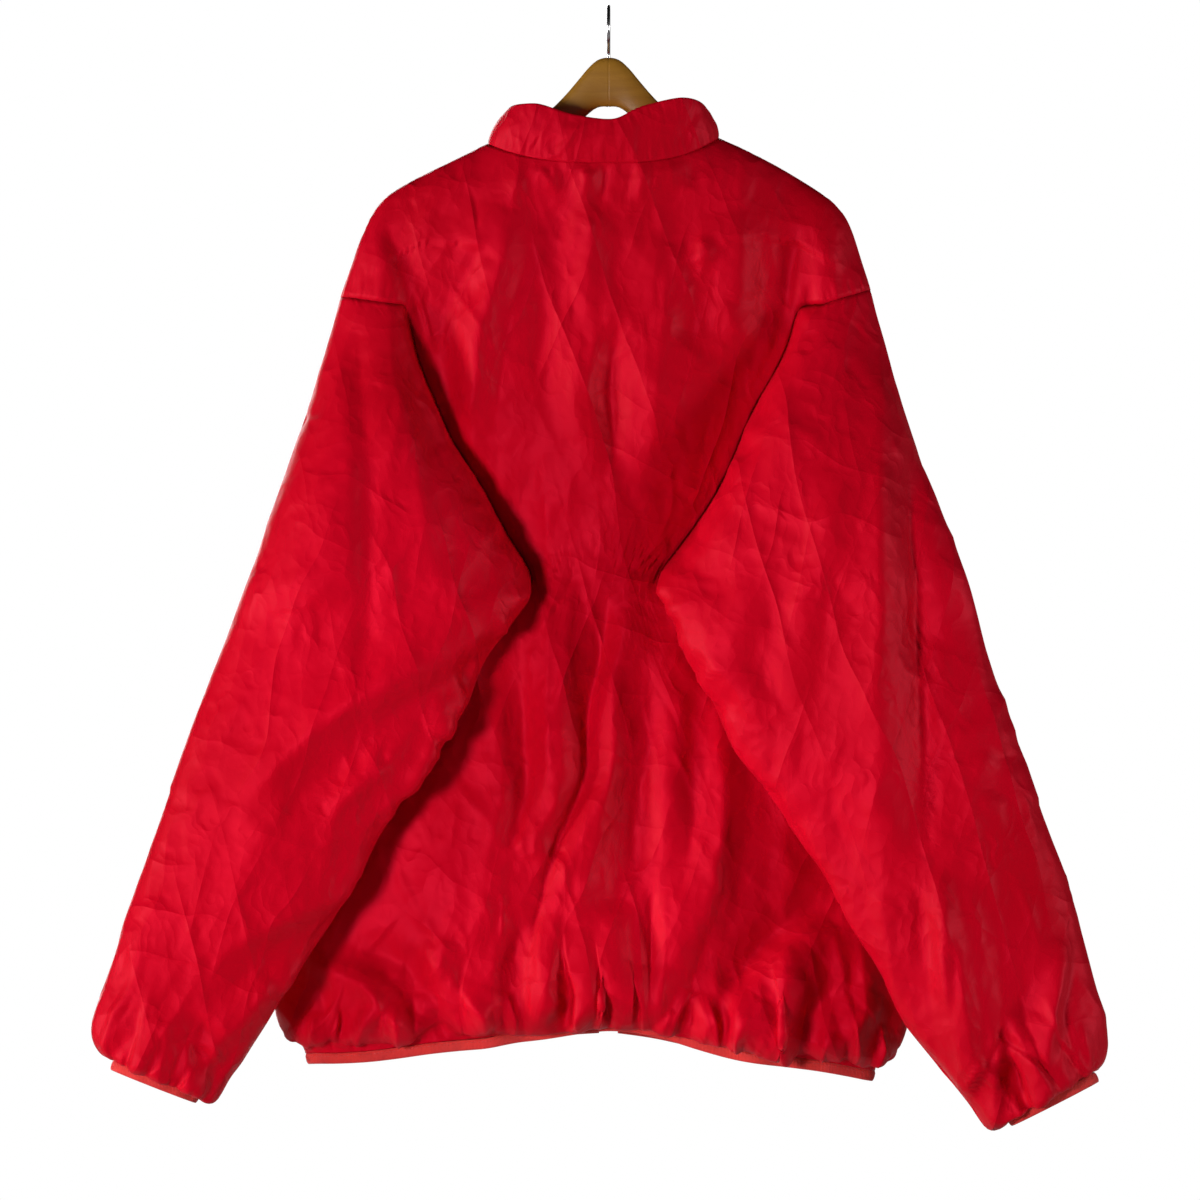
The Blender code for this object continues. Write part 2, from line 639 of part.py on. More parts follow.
def sleeve_ring(side, ring, split, gathered=1.0):
    """One ring of a sleeve below the underarm, clear of the trunk that it lies on."""
    table = SLEEVE_LEFT if side == "left" else SLEEVE_RIGHT
    size = {name: table.at(name, ring) for name in table.names[1:]}
    gather = gathered * CUFF_GATHER * ease((ring - CUFF_GATHERED_FROM) / 3.0)

    def point(angle, front):
        t = (1 - math.cos(angle)) / 2
        x = mix(size["out_x"], size["in_x"], t)
        z = mix(size["out_z"], size["in_z"], t)
        out = rounded(angle)[1]
        wave = gather * math.sin(CUFF_GATHERS * angle + (0.9 if front else 0.0)) * out
        if not front:
            lift = fold_relief(x, z) * math.sin(angle)
            return (x, size["mid_y"] - size["thick"] / 2 * out - wave - lift, z)
        y = size["mid_y"] + size["thick"] / 2 * out + wave
        trunk = trunk_back_y(x, z)
        if trunk is not None:
            y = min(y, trunk - CLEAR - max(fold_relief(x, z), 0.0))
        return (x, y, z)

    turn = math.acos(-UNDER_FROM)
    back = [point(angle, False) for angle in steps(0, math.pi, CAP_BACK_COLUMNS * split)]
    under = [point(angle, True) for angle in steps(math.pi, turn, UNDER_COLUMNS * split)]
    front = [point(angle, True) for angle in steps(turn, 0, CAP_FRONT_COLUMNS * split)]
    if side == "left":
        return [("cap_back_left", back), ("under_left", under), ("cap_front_left", front)]
    return [
        ("cap_front_right", front[::-1]),
        ("under_right", under[::-1]),
        ("cap_back_right", back[::-1]),
    ]


def crest_ring(side):
    """The sleeve's ring over the armhole's lowest seam, where it turns down over the trunk."""
    groups = dict(sleeve_ring(side, 1, 1))
    run = bottom_run(side, UNDER_COLUMNS)
    under = groups["under_" + side]
    ordered = run[::-1] if side == "left" else run
    for index, (x, y, z) in enumerate(ordered):
        t = index / UNDER_COLUMNS
        lift = math.sin(math.pi * t) ** 2
        way = np.array([x / TRUNK.at(side + "_x", 0) ** 2, y / TRUNK.at("back_y", 0) ** 2])
        way *= mix(CREST_END_OUT, CREST_OUT, lift) / np.linalg.norm(way)
        crest = (x + way[0], y + way[1], z + CREST_UP * lift)
        if 0 < index < UNDER_COLUMNS:
            under[index] = crest
    side_index = UNDER_COLUMNS if side == "left" else 0
    x, y, z = run[0]
    under[side_index] = (x + math.copysign(UNDERARM_OUT, x), y - UNDERARM_BACK, z)
    cap = groups["cap_front_" + side]
    cap[0 if side == "left" else -1] = under[side_index]
    order = ["cap_back_left", "under_left", "cap_front_left"]
    if side == "right":
        order = ["cap_front_right", "under_right", "cap_back_right"]
    return [(name, groups[name]) for name in order]


def end_ring(groups, shrink, down):
    """A ring drawn in towards its middle and moved along the sleeve, for the binding's seam."""
    points = np.array([point for _, stretch in groups for point in stretch[:-1]])
    middle = points.mean(axis=0)
    across = points - middle
    way = np.linalg.svd(across)[2][2]
    way *= -np.sign(way[2])
    size = np.linalg.norm(across, axis=1).max()
    drawn = 1 - shrink / size
    return [
        (name, [tuple(middle + (np.array(p) - middle) * drawn + way * down) for p in stretch])
        for name, stretch in groups
    ]


def collar_turn(name, t):
    """Degrees from the middle of the back for a place along one stretch of the collar seam."""
    spans = {
        "tape_left": (-180, -174),
        "front_left": (-174, -90 - math.degrees(FRONT_RUN)),
        "cap_front_left": (-90 - math.degrees(FRONT_RUN), -90),
        "cap_back_left": (-90, -90 + math.degrees(BACK_RUN_LEFT)),
        "back": (-90 + math.degrees(BACK_RUN_LEFT), 90 - math.degrees(BACK_RUN_RIGHT)),
        "cap_back_right": (90 - math.degrees(BACK_RUN_RIGHT), 90),
        "cap_front_right": (90, 90 + math.degrees(FRONT_RUN)),
        "front_right": (90 + math.degrees(FRONT_RUN), 174),
        "tape_right": (174, 180),
    }
    start, end = spans[name]
    return mix(start, end, t)


def collar_ring(base, height):
    """One ring of the stand collar, between its seam and its upper edge."""
    groups = []
    for name, points in base:
        lifted = []
        for index, point in enumerate(points):
            turn = collar_turn(name, index / (len(points) - 1))
            top = np.array([COLLAR.at(axis, turn) for axis in "xyz"])
            here = mix(np.array(point), top, height)
            outward = np.array([here[0], here[1], 0.0])
            outward /= np.linalg.norm(outward)
            lifted.append(tuple(here + outward * COLLAR_BOW * math.sin(math.pi * height)))
        groups.append((name, lifted))
    return groups


STRETCH_OF = {  # which cut piece a stretch belongs to, above and below the armholes' tops
    "front_left": ("front_left", "front_left"),
    "front_right": ("front_right", "front_right"),
    "cap_front_left": ("front_left", "sleeve_left"),
    "cap_front_right": ("front_right", "sleeve_right"),
    "cap_back_left": ("back", "sleeve_left"),
    "cap_back_right": ("back", "sleeve_right"),
    "back": ("back", "back"),
    "hidden_left": ("back", "back"),
    "hidden_right": ("back", "back"),
    "tape_left": ("zip_tape_left", "zip_tape_left"),
    "tape_right": ("zip_tape_right", "zip_tape_right"),
}


def join_rings(skin, upper, lower, below_armhole=True, piece=None):
    for name in lower:
        owner = piece or STRETCH_OF[name][below_armhole]
        if name.startswith("tape"):
            owner = STRETCH_OF[name][0]
        skin.band(owner, upper[name], lower[name])


def weave_garment():
    """Lays out the whole skin, from the collar's edge to the hem and the cuffs."""
    skin = Skin()
    zip_rows = []
    neck = yoke_ring(0)
    above = None
    for height in steps(1, 0, COLLAR_ROWS):
        row = skin.ring(neck if height == 0 else collar_ring(neck, height))
        zip_rows.append(row)
        if above:
            join_rings(skin, above, row, piece="collar")
        above = row
    for level in range(1, YOKE_ROWS + 1):
        row = skin.ring(yoke_ring(level))
        join_rings(skin, above, row, below_armhole=False)
        zip_rows.append(row)
        above = row
    for level in range(1, CHEST_ROWS + 1):
        row = skin.ring(chest_ring(CHEST_DEEP * level / CHEST_ROWS))
        join_rings(skin, above, row)
        zip_rows.append(row)
        above = row
    underarm = above
    for side in ("left", "right"):
        run = bottom_run(side, UNDER_COLUMNS)
        front_end = underarm["front_left"][-1] if side == "left" else underarm["front_right"][0]
        valley_end = underarm["back"][0] if side == "left" else underarm["back"][-1]
        middle = []
        for point in run[1:-1]:
            skin.points.append(point)
            middle.append(len(skin.points) - 1)
        line = [front_end, *middle, valley_end]
        underarm["hidden_" + side] = line if side == "left" else line[::-1]
        underarm["under_" + side] = underarm["hidden_" + side][::-1]
    zip_rows += weave_trunk(skin, underarm)
    for side in ("left", "right"):
        weave_sleeve(skin, underarm, side)
    skin.measure()
    return skin, zip_rows


def weave_trunk(skin, underarm):
    above = underarm
    rows = []
    rings = [(share, 1, None) for share in TRUNK_SHARES]
    rings += [(share, 2, None) for share in GATHERED_SHARES]
    rings += [(1.0, 2, "low"), (1.0, 2, "edge")]
    for share, split, fold in rings:
        row = skin.ring(trunk_ring(share, split, fold))
        join_rings(skin, above, row)
        rows.append(row)
        above = row
    bind_hem(skin, above)
    return rows


def bind_hem(skin, edge):
    """The elastic binding below the trunk's last ring, open at the zip."""
    below = {}
    for name, ids in edge.items():
        if name.startswith("tape"):
            continue
        for index in ids:
            if index not in below:
                x, y, z = skin.points[index]
                skin.points.append((x * BINDING_LEAN, y * BINDING_LEAN, z - BINDING_TALL))
                below[index] = len(skin.points) - 1
        skin.band("hem_binding", ids, [below[index] for index in ids])


def weave_sleeve(skin, underarm, side):
    piece = "sleeve_" + side

    def join(upper, lower, owner=piece):
        for name in lower:
            skin.band(owner, upper[name], lower[name])

    above = skin.ring(crest_ring(side))
    join(underarm, above)
    for ring in range(2, SLEEVE_ROWS + 1):
        split = 2 if ring >= CUFF_GATHERED_FROM else 1
        groups = sleeve_ring(side, ring, split)
        row = skin.ring(groups)
        join(above, row)
        above = row
    smooth = sleeve_ring(side, SLEEVE_ROWS, 2, gathered=CUFF_FLATTENED)
    seam = skin.ring(end_ring(smooth, CUFF_IN, CUFF_DOWN))
    join(above, seam)
    end = skin.ring(end_ring(smooth, CUFF_IN, CUFF_DOWN + BINDING_TALL))
    join(seam, end, "cuff_binding_" + side)


def finish(name):
    """One material for each finish, made when it is first asked for."""
    material = bpy.data.materials.get(name)
    if material is None:
        colour, rough, metal = FINISHES[name]
        material = bpy.data.materials.new(name)
        material.use_nodes = True
        shader = material.node_tree.nodes["Principled BSDF"]
        shader.inputs["Base Color"].default_value = (*colour, 1)
        shader.inputs["Roughness"].default_value = rough
        shader.inputs["Metallic"].default_value = metal
        material.diffuse_color = (*colour, 1)
    return material


def named(name, points, faces, finish_name, smooth=True):
    mesh = bpy.data.meshes.new(name)
    mesh.from_pydata([tuple(point) for point in points], [], faces)
    if smooth:
        mesh.shade_smooth()
        mesh.set_sharp_from_angle(angle=math.radians(50))
    mesh.materials.append(finish(finish_name))
    piece = bpy.data.objects.new(name, mesh)
    bpy.context.scene.collection.objects.link(piece)
    return piece


def from_bmesh(name, shape, finish_name):
    mesh = bpy.data.meshes.new(name)
    bmesh.ops.recalc_face_normals(shape, faces=shape.faces)
    shape.to_mesh(mesh)
    shape.free()
    mesh.materials.append(finish(finish_name))
    piece = bpy.data.objects.new(name, mesh)
    bpy.context.scene.collection.objects.link(piece)
    return piece


def cut_pieces(skin):
    for name, faces in skin.pieces.items():
        if name.startswith("zip_tape"):
            named(name, *skin.wall(faces, TAPE_DEPTH, TAPE_THICK), "zip tape")
        elif "binding" in name:
            named(name, *skin.wall(faces), "binding")
        else:
            named(name, *skin.wall(faces), "shell")


def lay_teeth(skin, rows, side):
    """One row of teeth, on its tape along the middle of the zip."""
    column = "tape_" + side
    teeth = Skin()
    ids = []
    ways = []
    for row in rows:
        middle, edge = row[column] if side == "left" else row[column][::-1]
        pair = []
        for share in (0.0, TEETH_SHARE):
            teeth.points.append(mix(skin.at[middle], skin.at[edge], share))
            ways.append(skin.out[middle])
            pair.append(len(teeth.points) - 1)
        ids.append(pair if side == "left" else pair[::-1])
    for upper, lower in zip(ids, ids[1:]):
        teeth.band("teeth", upper, lower)
    teeth.at, teeth.out = np.array(teeth.points), np.array(ways)
    teeth.reach = np.ones(len(ways))
    solid = teeth.wall(teeth.pieces["teeth"], -TEETH_PROUD, TAPE_DEPTH + TEETH_PROUD - SEAM)
    named("zip_teeth_" + side, *solid, "zip teeth")


def zip_face_y(skin, rows, z):
    """Depth of the cloth's face at the middle of the zip, at this height."""
    line = np.array([skin.points[row["tape_left"][0]] for row in rows])
    order = np.argsort(line[:, 2])
    return float(np.interp(z, line[order, 2], line[order, 1]))


def block(shape, low, high):
    """A box between two corners, added to the shape."""
    made = bmesh.ops.create_cube(shape, size=1.0)["verts"]
    low, high = np.array(low), np.array(high)
    for vertex in made:
        vertex.co = (low + high) / 2 + np.array(vertex.co) * (high - low)
    return made


def round_corners(shape, thick, radius):
    """Rounds the four corners of a flat plate whose thickness lies along Y."""
    upright = [edge for edge in shape.edges if abs(edge.verts[0].co.y - edge.verts[1].co.y) > thick / 2]
    bmesh.ops.bevel(shape, geom=upright, offset=radius, segments=3, affect="EDGES", profile=0.5)


def joined(name, parts, finish_name):
    """Several closed shapes that meet, made into one."""
    first = parts[0]
    for other in parts[1:]:
        union = first.modifiers.new("join", "BOOLEAN")
        union.operation = "UNION"
        union.object = other
    bpy.context.view_layer.update()
    graph = bpy.context.evaluated_depsgraph_get()
    mesh = bpy.data.meshes.new_from_object(first.evaluated_get(graph))
    for part in parts:
        bpy.data.objects.remove(part)
    mesh.name = name
    mesh.materials.clear()
    mesh.materials.append(finish(finish_name))
    piece = bpy.data.objects.new(name, mesh)
    bpy.context.scene.collection.objects.link(piece)
    return piece


def rod(name, radius, length, sides, finish_name):
    """A round bar along X, with its middle at the origin."""
    shape = bmesh.new()
    bmesh.ops.create_cone(
        shape, cap_ends=True, segments=sides, radius1=radius, radius2=radius, depth=length
    )
    for vertex in shape.verts:
        x, y, z = vertex.co
        vertex.co = (z, y, x)
    return from_bmesh(name, shape, finish_name)


def make_slider(face_y):
    """The slider's plate with its two lugs and the pin that holds the pull tab."""
    back = face_y + TEETH_PROUD + SEAM
    front = back + PLATE_THICK
    pin_y = front + LUG_PROUD - PIN_RADIUS * 2
    pin_z = SLIDER_Z + SLIDER_TALL * 0.2
    half = SLIDER_WIDE / 2
    plate = bmesh.new()
    block(plate, (-half, back, SLIDER_Z - SLIDER_TALL / 2), (half, front, SLIDER_Z + SLIDER_TALL / 2))
    round_corners(plate, PLATE_THICK, PLATE_CORNER)
    parts = [from_bmesh("plate", plate, "zip metal")]
    for way in (-1, 1):
        lug = bmesh.new()
        inner, outer = way * LUG_APART, way * (LUG_APART + LUG_WIDE)
        low = (min(inner, outer), front - LUG_SUNK, pin_z - LUG_TALL / 2)
        high = (max(inner, outer), front + LUG_PROUD, pin_z + LUG_TALL / 2)
        block(lug, low, high)
        parts.append(from_bmesh("lug", lug, "zip metal"))
    pin = rod("pin", PIN_RADIUS, 2 * LUG_APART + LUG_WIDE, 12, "zip metal")
    pin.location = (0, pin_y, pin_z)
    parts.append(pin)
    joined("zip_slider", parts, "zip metal")
    return pin_y, pin_z


def make_pull(pin_y, pin_z):
    """The pull tab: a barrel round the slider's pin, and a flat tab that hangs from it."""
    barrel = rod("barrel", BARREL_OUTSIDE, 2 * (LUG_APART - SEAM), 16, "zip metal")
    shape = bmesh.new()
    half = TAB_WIDE / 2
    block(shape, (-half, 0.0, -TAB_LONG), (half, TAB_THICK, -BARREL_OUTSIDE * 1.6))
    round_corners(shape, TAB_THICK, TAB_CORNER)
    tab = from_bmesh("tab", shape, "zip metal")
    neck = bmesh.new()
    narrow = LUG_APART - SEAM
    block(neck, (-narrow, 0.0, -BARREL_OUTSIDE * 2), (narrow, TAB_THICK, -BARREL_OUTSIDE * 0.5))
    pieces = [barrel, from_bmesh("neck", neck, "zip metal"), tab]
    pull = joined("zip_pull", pieces, "zip metal")
    bore = rod("pull_bore", BARREL_INSIDE, 4 * LUG_APART, 16, "zip metal")
    cut = pull.modifiers.new("bore", "BOOLEAN")
    cut.operation = "DIFFERENCE"
    cut.object = bore
    bpy.context.view_layer.update()
    graph = bpy.context.evaluated_depsgraph_get()
    mesh = bpy.data.meshes.new_from_object(pull.evaluated_get(graph))
    pull.modifiers.clear()
    pull.data = mesh
    bpy.data.objects.remove(bore)
    pull.location = (0, pin_y, pin_z)
    return pull


def wood_lines(skin, ridge_rows, side):
    """Top of one arm of the hanger, from the middle out: the hump, then just under the shoulder seam."""
    column = "cap_back_" + side
    line = [(x, z) for x, z in WOOD_TOP]
    for row in ridge_rows:
        seam = row[column][0] if side == "left" else row[column][-1]
        inner = skin.at[seam] - skin.out[seam] * WALL * skin.reach[seam]
        line.append((abs(inner[0]), inner[2] - 2 * SEAM))
    tip = (WOOD_TIP, float(np.interp(WOOD_TIP, *zip(*line))))
    return [point for point in line if point[0] < WOOD_TIP - SEAM] + [tip]


def make_hanger(skin, ridge_rows):
    """The wooden hanger, one bent bar of rounded section, and its wire hook."""
    stations = []
    for side, way in (("left", -1), ("right", 1)):
        line = wood_lines(skin, ridge_rows, side)
        stations += [(way * x, z) for x, z in line if way < 0 or x > 0]
    stations.sort()
    tall_x, tall = zip(*WOOD_TALL)
    turns = [2 * math.pi * (side + 0.5) / WOOD_SIDES for side in range(WOOD_SIDES)]
    section = [(math.cos(turn), math.sin(turn)) for turn in turns]
    points, faces = [], []
    for x, top in stations:
        high = float(np.interp(abs(x), tall_x, tall))
        for across, up in section:
            y = WOOD_HALF * math.copysign(abs(across) ** WOOD_SQUARE, across)
            points.append((x, y, top - high / 2 + high / 2 * up))
    count = len(section)
    for s in range(len(stations) - 1):
        for c in range(count):
            d = (c + 1) % count
            faces.append((s * count + c, s * count + d, (s + 1) * count + d, (s + 1) * count + c))
    faces.append(tuple(reversed(range(count))))
    last = (len(stations) - 1) * count
    faces.append(tuple(range(last, last + count)))
    solid = bmesh.new()
    made = [solid.verts.new(point) for point in points]
    for face in faces:
        solid.faces.new([made[i] for i in face])
    wood = from_bmesh("hanger_wood", solid, "wood")
    wood.data.shade_smooth()
    wood.data.set_sharp_from_angle(angle=math.radians(50))
    make_hook(max(z for _, _, z in points))


def make_hook(wood_top):
    """A wire hook, turned edge-on to the back: up from the wood, then over the rod and down."""
    radius = HOOK_INSIDE + HOOK_WIRE
    centre = -HOOK_INSIDE
    route = [(y, wood_top + up) for y, up in HOOK_STEM]
    for turn in range(HOOK_FROM, HOOK_TO, -HOOK_STEP):
        angle = math.radians(turn)
        route.append((radius * math.cos(angle), centre + radius * math.sin(angle)))
    curve = bpy.data.curves.new("hanger_hook", "CURVE")
    curve.dimensions = "3D"
    curve.bevel_depth = HOOK_WIRE
    curve.bevel_resolution = 2
    curve.use_fill_caps = True
    spline = curve.splines.new("POLY")
    spline.points.add(len(route) - 1)
    for point, (y, z) in zip(spline.points, route):
        point.co = (0.0, y, z, 1.0)
    spline.use_smooth = True
    curve.materials.append(finish("steel"))
    hook = bpy.data.objects.new("hanger_hook", curve)
    bpy.context.scene.collection.objects.link(hook)


def main():
    for old in list(bpy.data.objects):
        bpy.data.objects.remove(old)
    skin, zip_rows = weave_garment()
    cut_pieces(skin)
    for side in ("left", "right"):
        lay_teeth(skin, zip_rows, side)
    pin_y, pin_z = make_slider(zip_face_y(skin, zip_rows, SLIDER_Z))
    make_pull(pin_y, pin_z)
    make_hanger(skin, zip_rows[COLLAR_ROWS : COLLAR_ROWS + 5])


main()
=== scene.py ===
# %% [markdown]
# # A padded nylon jacket on a wooden hanger
#
# This lesson dresses a finished frame: the solids of a jacket, as a pattern maker would cut it, on
# its hanger. The frame gives the size and the place of every piece. Here each piece gets the cloth,
# sewing, zip, wood and wire that make it look real, and nothing of the frame is moved.

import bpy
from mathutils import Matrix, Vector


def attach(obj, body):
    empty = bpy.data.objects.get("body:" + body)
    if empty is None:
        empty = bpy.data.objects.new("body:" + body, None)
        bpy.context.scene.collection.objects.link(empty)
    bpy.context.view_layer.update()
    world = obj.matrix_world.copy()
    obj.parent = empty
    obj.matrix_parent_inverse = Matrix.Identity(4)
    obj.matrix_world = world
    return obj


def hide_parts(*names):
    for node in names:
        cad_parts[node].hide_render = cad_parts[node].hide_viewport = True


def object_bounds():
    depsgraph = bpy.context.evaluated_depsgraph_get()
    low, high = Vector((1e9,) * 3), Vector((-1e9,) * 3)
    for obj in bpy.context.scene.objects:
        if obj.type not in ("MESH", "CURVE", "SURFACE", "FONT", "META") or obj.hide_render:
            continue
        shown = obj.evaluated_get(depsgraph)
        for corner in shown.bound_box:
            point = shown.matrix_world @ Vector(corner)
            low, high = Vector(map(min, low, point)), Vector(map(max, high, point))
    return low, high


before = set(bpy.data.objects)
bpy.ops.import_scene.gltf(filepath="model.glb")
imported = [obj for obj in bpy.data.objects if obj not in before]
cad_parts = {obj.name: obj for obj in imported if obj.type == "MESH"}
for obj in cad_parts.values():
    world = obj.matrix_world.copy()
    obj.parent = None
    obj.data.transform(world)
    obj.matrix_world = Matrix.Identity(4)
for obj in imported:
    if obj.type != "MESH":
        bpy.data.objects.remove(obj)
cad_low, cad_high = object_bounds()
print("pieces of the frame:", ", ".join(sorted(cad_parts)))

# %% [markdown]
# The lesson needs Blender's own modules, numpy for whole meshes at once, and two search trees. Lengths
# are in metres, as in the frame, and MM is a millimetre.

# %% Tools that the lesson uses
import math

import bmesh
import bpy
import numpy as np
from mathutils import Vector
from mathutils.bvhtree import BVHTree
from mathutils.kdtree import KDTree

scene = bpy.context.scene
MM = 0.001

# %% [markdown]
# ## The camera
#
# The jacket hangs with its back to the camera, and the picture was taken straight on. A long lens
# from twelve metres keeps the sleeves, which hang nearer, from looking too large. Positions that are
# read off the picture come in its own units, so one helper turns them into metres.

# %% Camera
PICTURE_SCALE = 0.00086  # metres for each picture unit
PICTURE_MIDDLE = (608.5, 57.0)  # where the top of the hanger's wood is, in picture units
HANGER_TOP = -0.045  # and its height in the frame
SLEEVE_DEPTH = -0.07
CAMERA_AWAY = 12.0


def across(px):
    return (px - PICTURE_MIDDLE[0]) * PICTURE_SCALE


def up(py):
    return HANGER_TOP - (py - PICTURE_MIDDLE[1]) * PICTURE_SCALE


camera_data = bpy.data.cameras.new("camera")
camera_data.lens = 36.0 * CAMERA_AWAY / (1200 * PICTURE_SCALE)
camera = bpy.data.objects.new("camera", camera_data)
camera.location = (across(600), SLEEVE_DEPTH - CAMERA_AWAY, up(600))
camera.rotation_euler = (math.radians(90), 0, 0)
scene.collection.objects.link(camera)
scene.camera = camera
print("lens", round(camera_data.lens), "mm")

# %% [markdown]
# ## Floor and light
#
# The floor is a plain pale disc under the jacket. The camera sees the room as white, while the cloth
# sees a faint light that is pale below and dark above, so the shoulders and the collar stay deep.

# %% Floor and room
FLOOR_Z = cad_low.z - 0.30
FLOOR_RADIUS = 1.9
floor_mesh = bpy.data.meshes.new("floor")
turns = np.linspace(0, math.tau, 96)[:-1]
ring = [(FLOOR_RADIUS * math.cos(a), FLOOR_RADIUS * math.sin(a), FLOOR_Z) for a in turns]
floor_mesh.from_pydata(ring, [], [list(range(len(ring)))])
floor = bpy.data.objects.new("floor", floor_mesh)
scene.collection.objects.link(floor)

scene.view_settings.view_transform = "Standard"
room = bpy.data.worlds.new("room")
scene.world = room
room.use_nodes = True
sky = room.node_tree
seen = sky.nodes.new("ShaderNodeBackground")
seen.inputs["Color"].default_value = (1, 1, 1, 1)
seen.inputs["Strength"].default_value = 1.0
fill = sky.nodes["Background"]
fill.inputs["Strength"].default_value = 0.16
sky_place = sky.nodes.new("ShaderNodeTexCoord")
sky_parts = sky.nodes.new("ShaderNodeSeparateXYZ")
sky_shade = sky.nodes.new("ShaderNodeValToRGB")
sky_shade.color_ramp.elements[0].position = 0.30
sky_shade.color_ramp.elements[0].color = (1.0, 0.98, 0.97, 1)
sky_shade.color_ramp.elements[1].position = 0.75
sky_shade.color_ramp.elements[1].color = (0.04, 0.04, 0.04, 1)
sky_up = sky.nodes.new("ShaderNodeMapRange")
sky_up.inputs["From Min"].default_value = -1.0
sky.links.new(sky_place.outputs["Generated"], sky_parts.inputs[0])
sky.links.new(sky_parts.outputs["Z"], sky_up.inputs["Value"])
sky.links.new(sky_up.outputs[0], sky_shade.inputs["Fac"])
sky.links.new(sky_shade.outputs["Color"], fill.inputs["Color"])
rays = sky.nodes.new("ShaderNodeLightPath")
either = sky.nodes.new("ShaderNodeMixShader")
sky.links.new(rays.outputs["Is Camera Ray"], either.inputs["Fac"])
sky.links.new(fill.outputs[0], either.inputs[1])
sky.links.new(seen.outputs[0], either.inputs[2])
sky.links.new(either.outputs[0], sky.nodes["World Output"].inputs["Surface"])
print("floor at", round(FLOOR_Z, 3), "m")

# %% [markdown]
# Light mostly from one side shows folds: one flank of each is bright while the other is dark. Two
# equal boxes would cancel that out, so the right one is weaker. Of the two on the left, one has
# a narrow beam that is aimed low, at the sleeves and the hem, and the other rakes across the cloth
# from far out. A box behind lights the jacket's front, for the other views.

# %% Lamps
def soft_box(name, place, aim, size, watts, beam=180):
    lamp = bpy.data.lights.new(name, "AREA")
    lamp.shape = "RECTANGLE"
    lamp.size, lamp.size_y = size
    lamp.energy = watts
    lamp.spread = math.radians(beam)
    holder = bpy.data.objects.new(name, lamp)
    holder.location = place
    holder.rotation_euler = (Vector(aim) - Vector(place)).to_track_quat("-Z", "Y").to_euler()
    holder.visible_camera = False
    scene.collection.objects.link(holder)
    return holder


soft_box("left_box", (-2.3, -3.4, -0.8), (0.05, 0, -0.68), (0.7, 0.9), 5.2, 36)
soft_box("raking_box", (-3.9, -1.1, -0.6), (0, 0, -0.58), (0.7, 1.2), 85)
soft_box("right_box", (4.0, -1.3, -0.4), (0.3, 0, -0.55), (0.7, 1.0), 55)
soft_box("behind_box", (-0.8, 3.6, -0.1), (0, 0, -0.5), (2.6, 2.6), 90)

# %% [markdown]
# ## Finishes
#
# Each finish is a node material on Principled BSDF. Patterns read the object's own position in
# metres, because every piece stays where the frame has it, so a size in a pattern is a real size.
# Numbers that are the same all over a piece are typed on the shader itself.

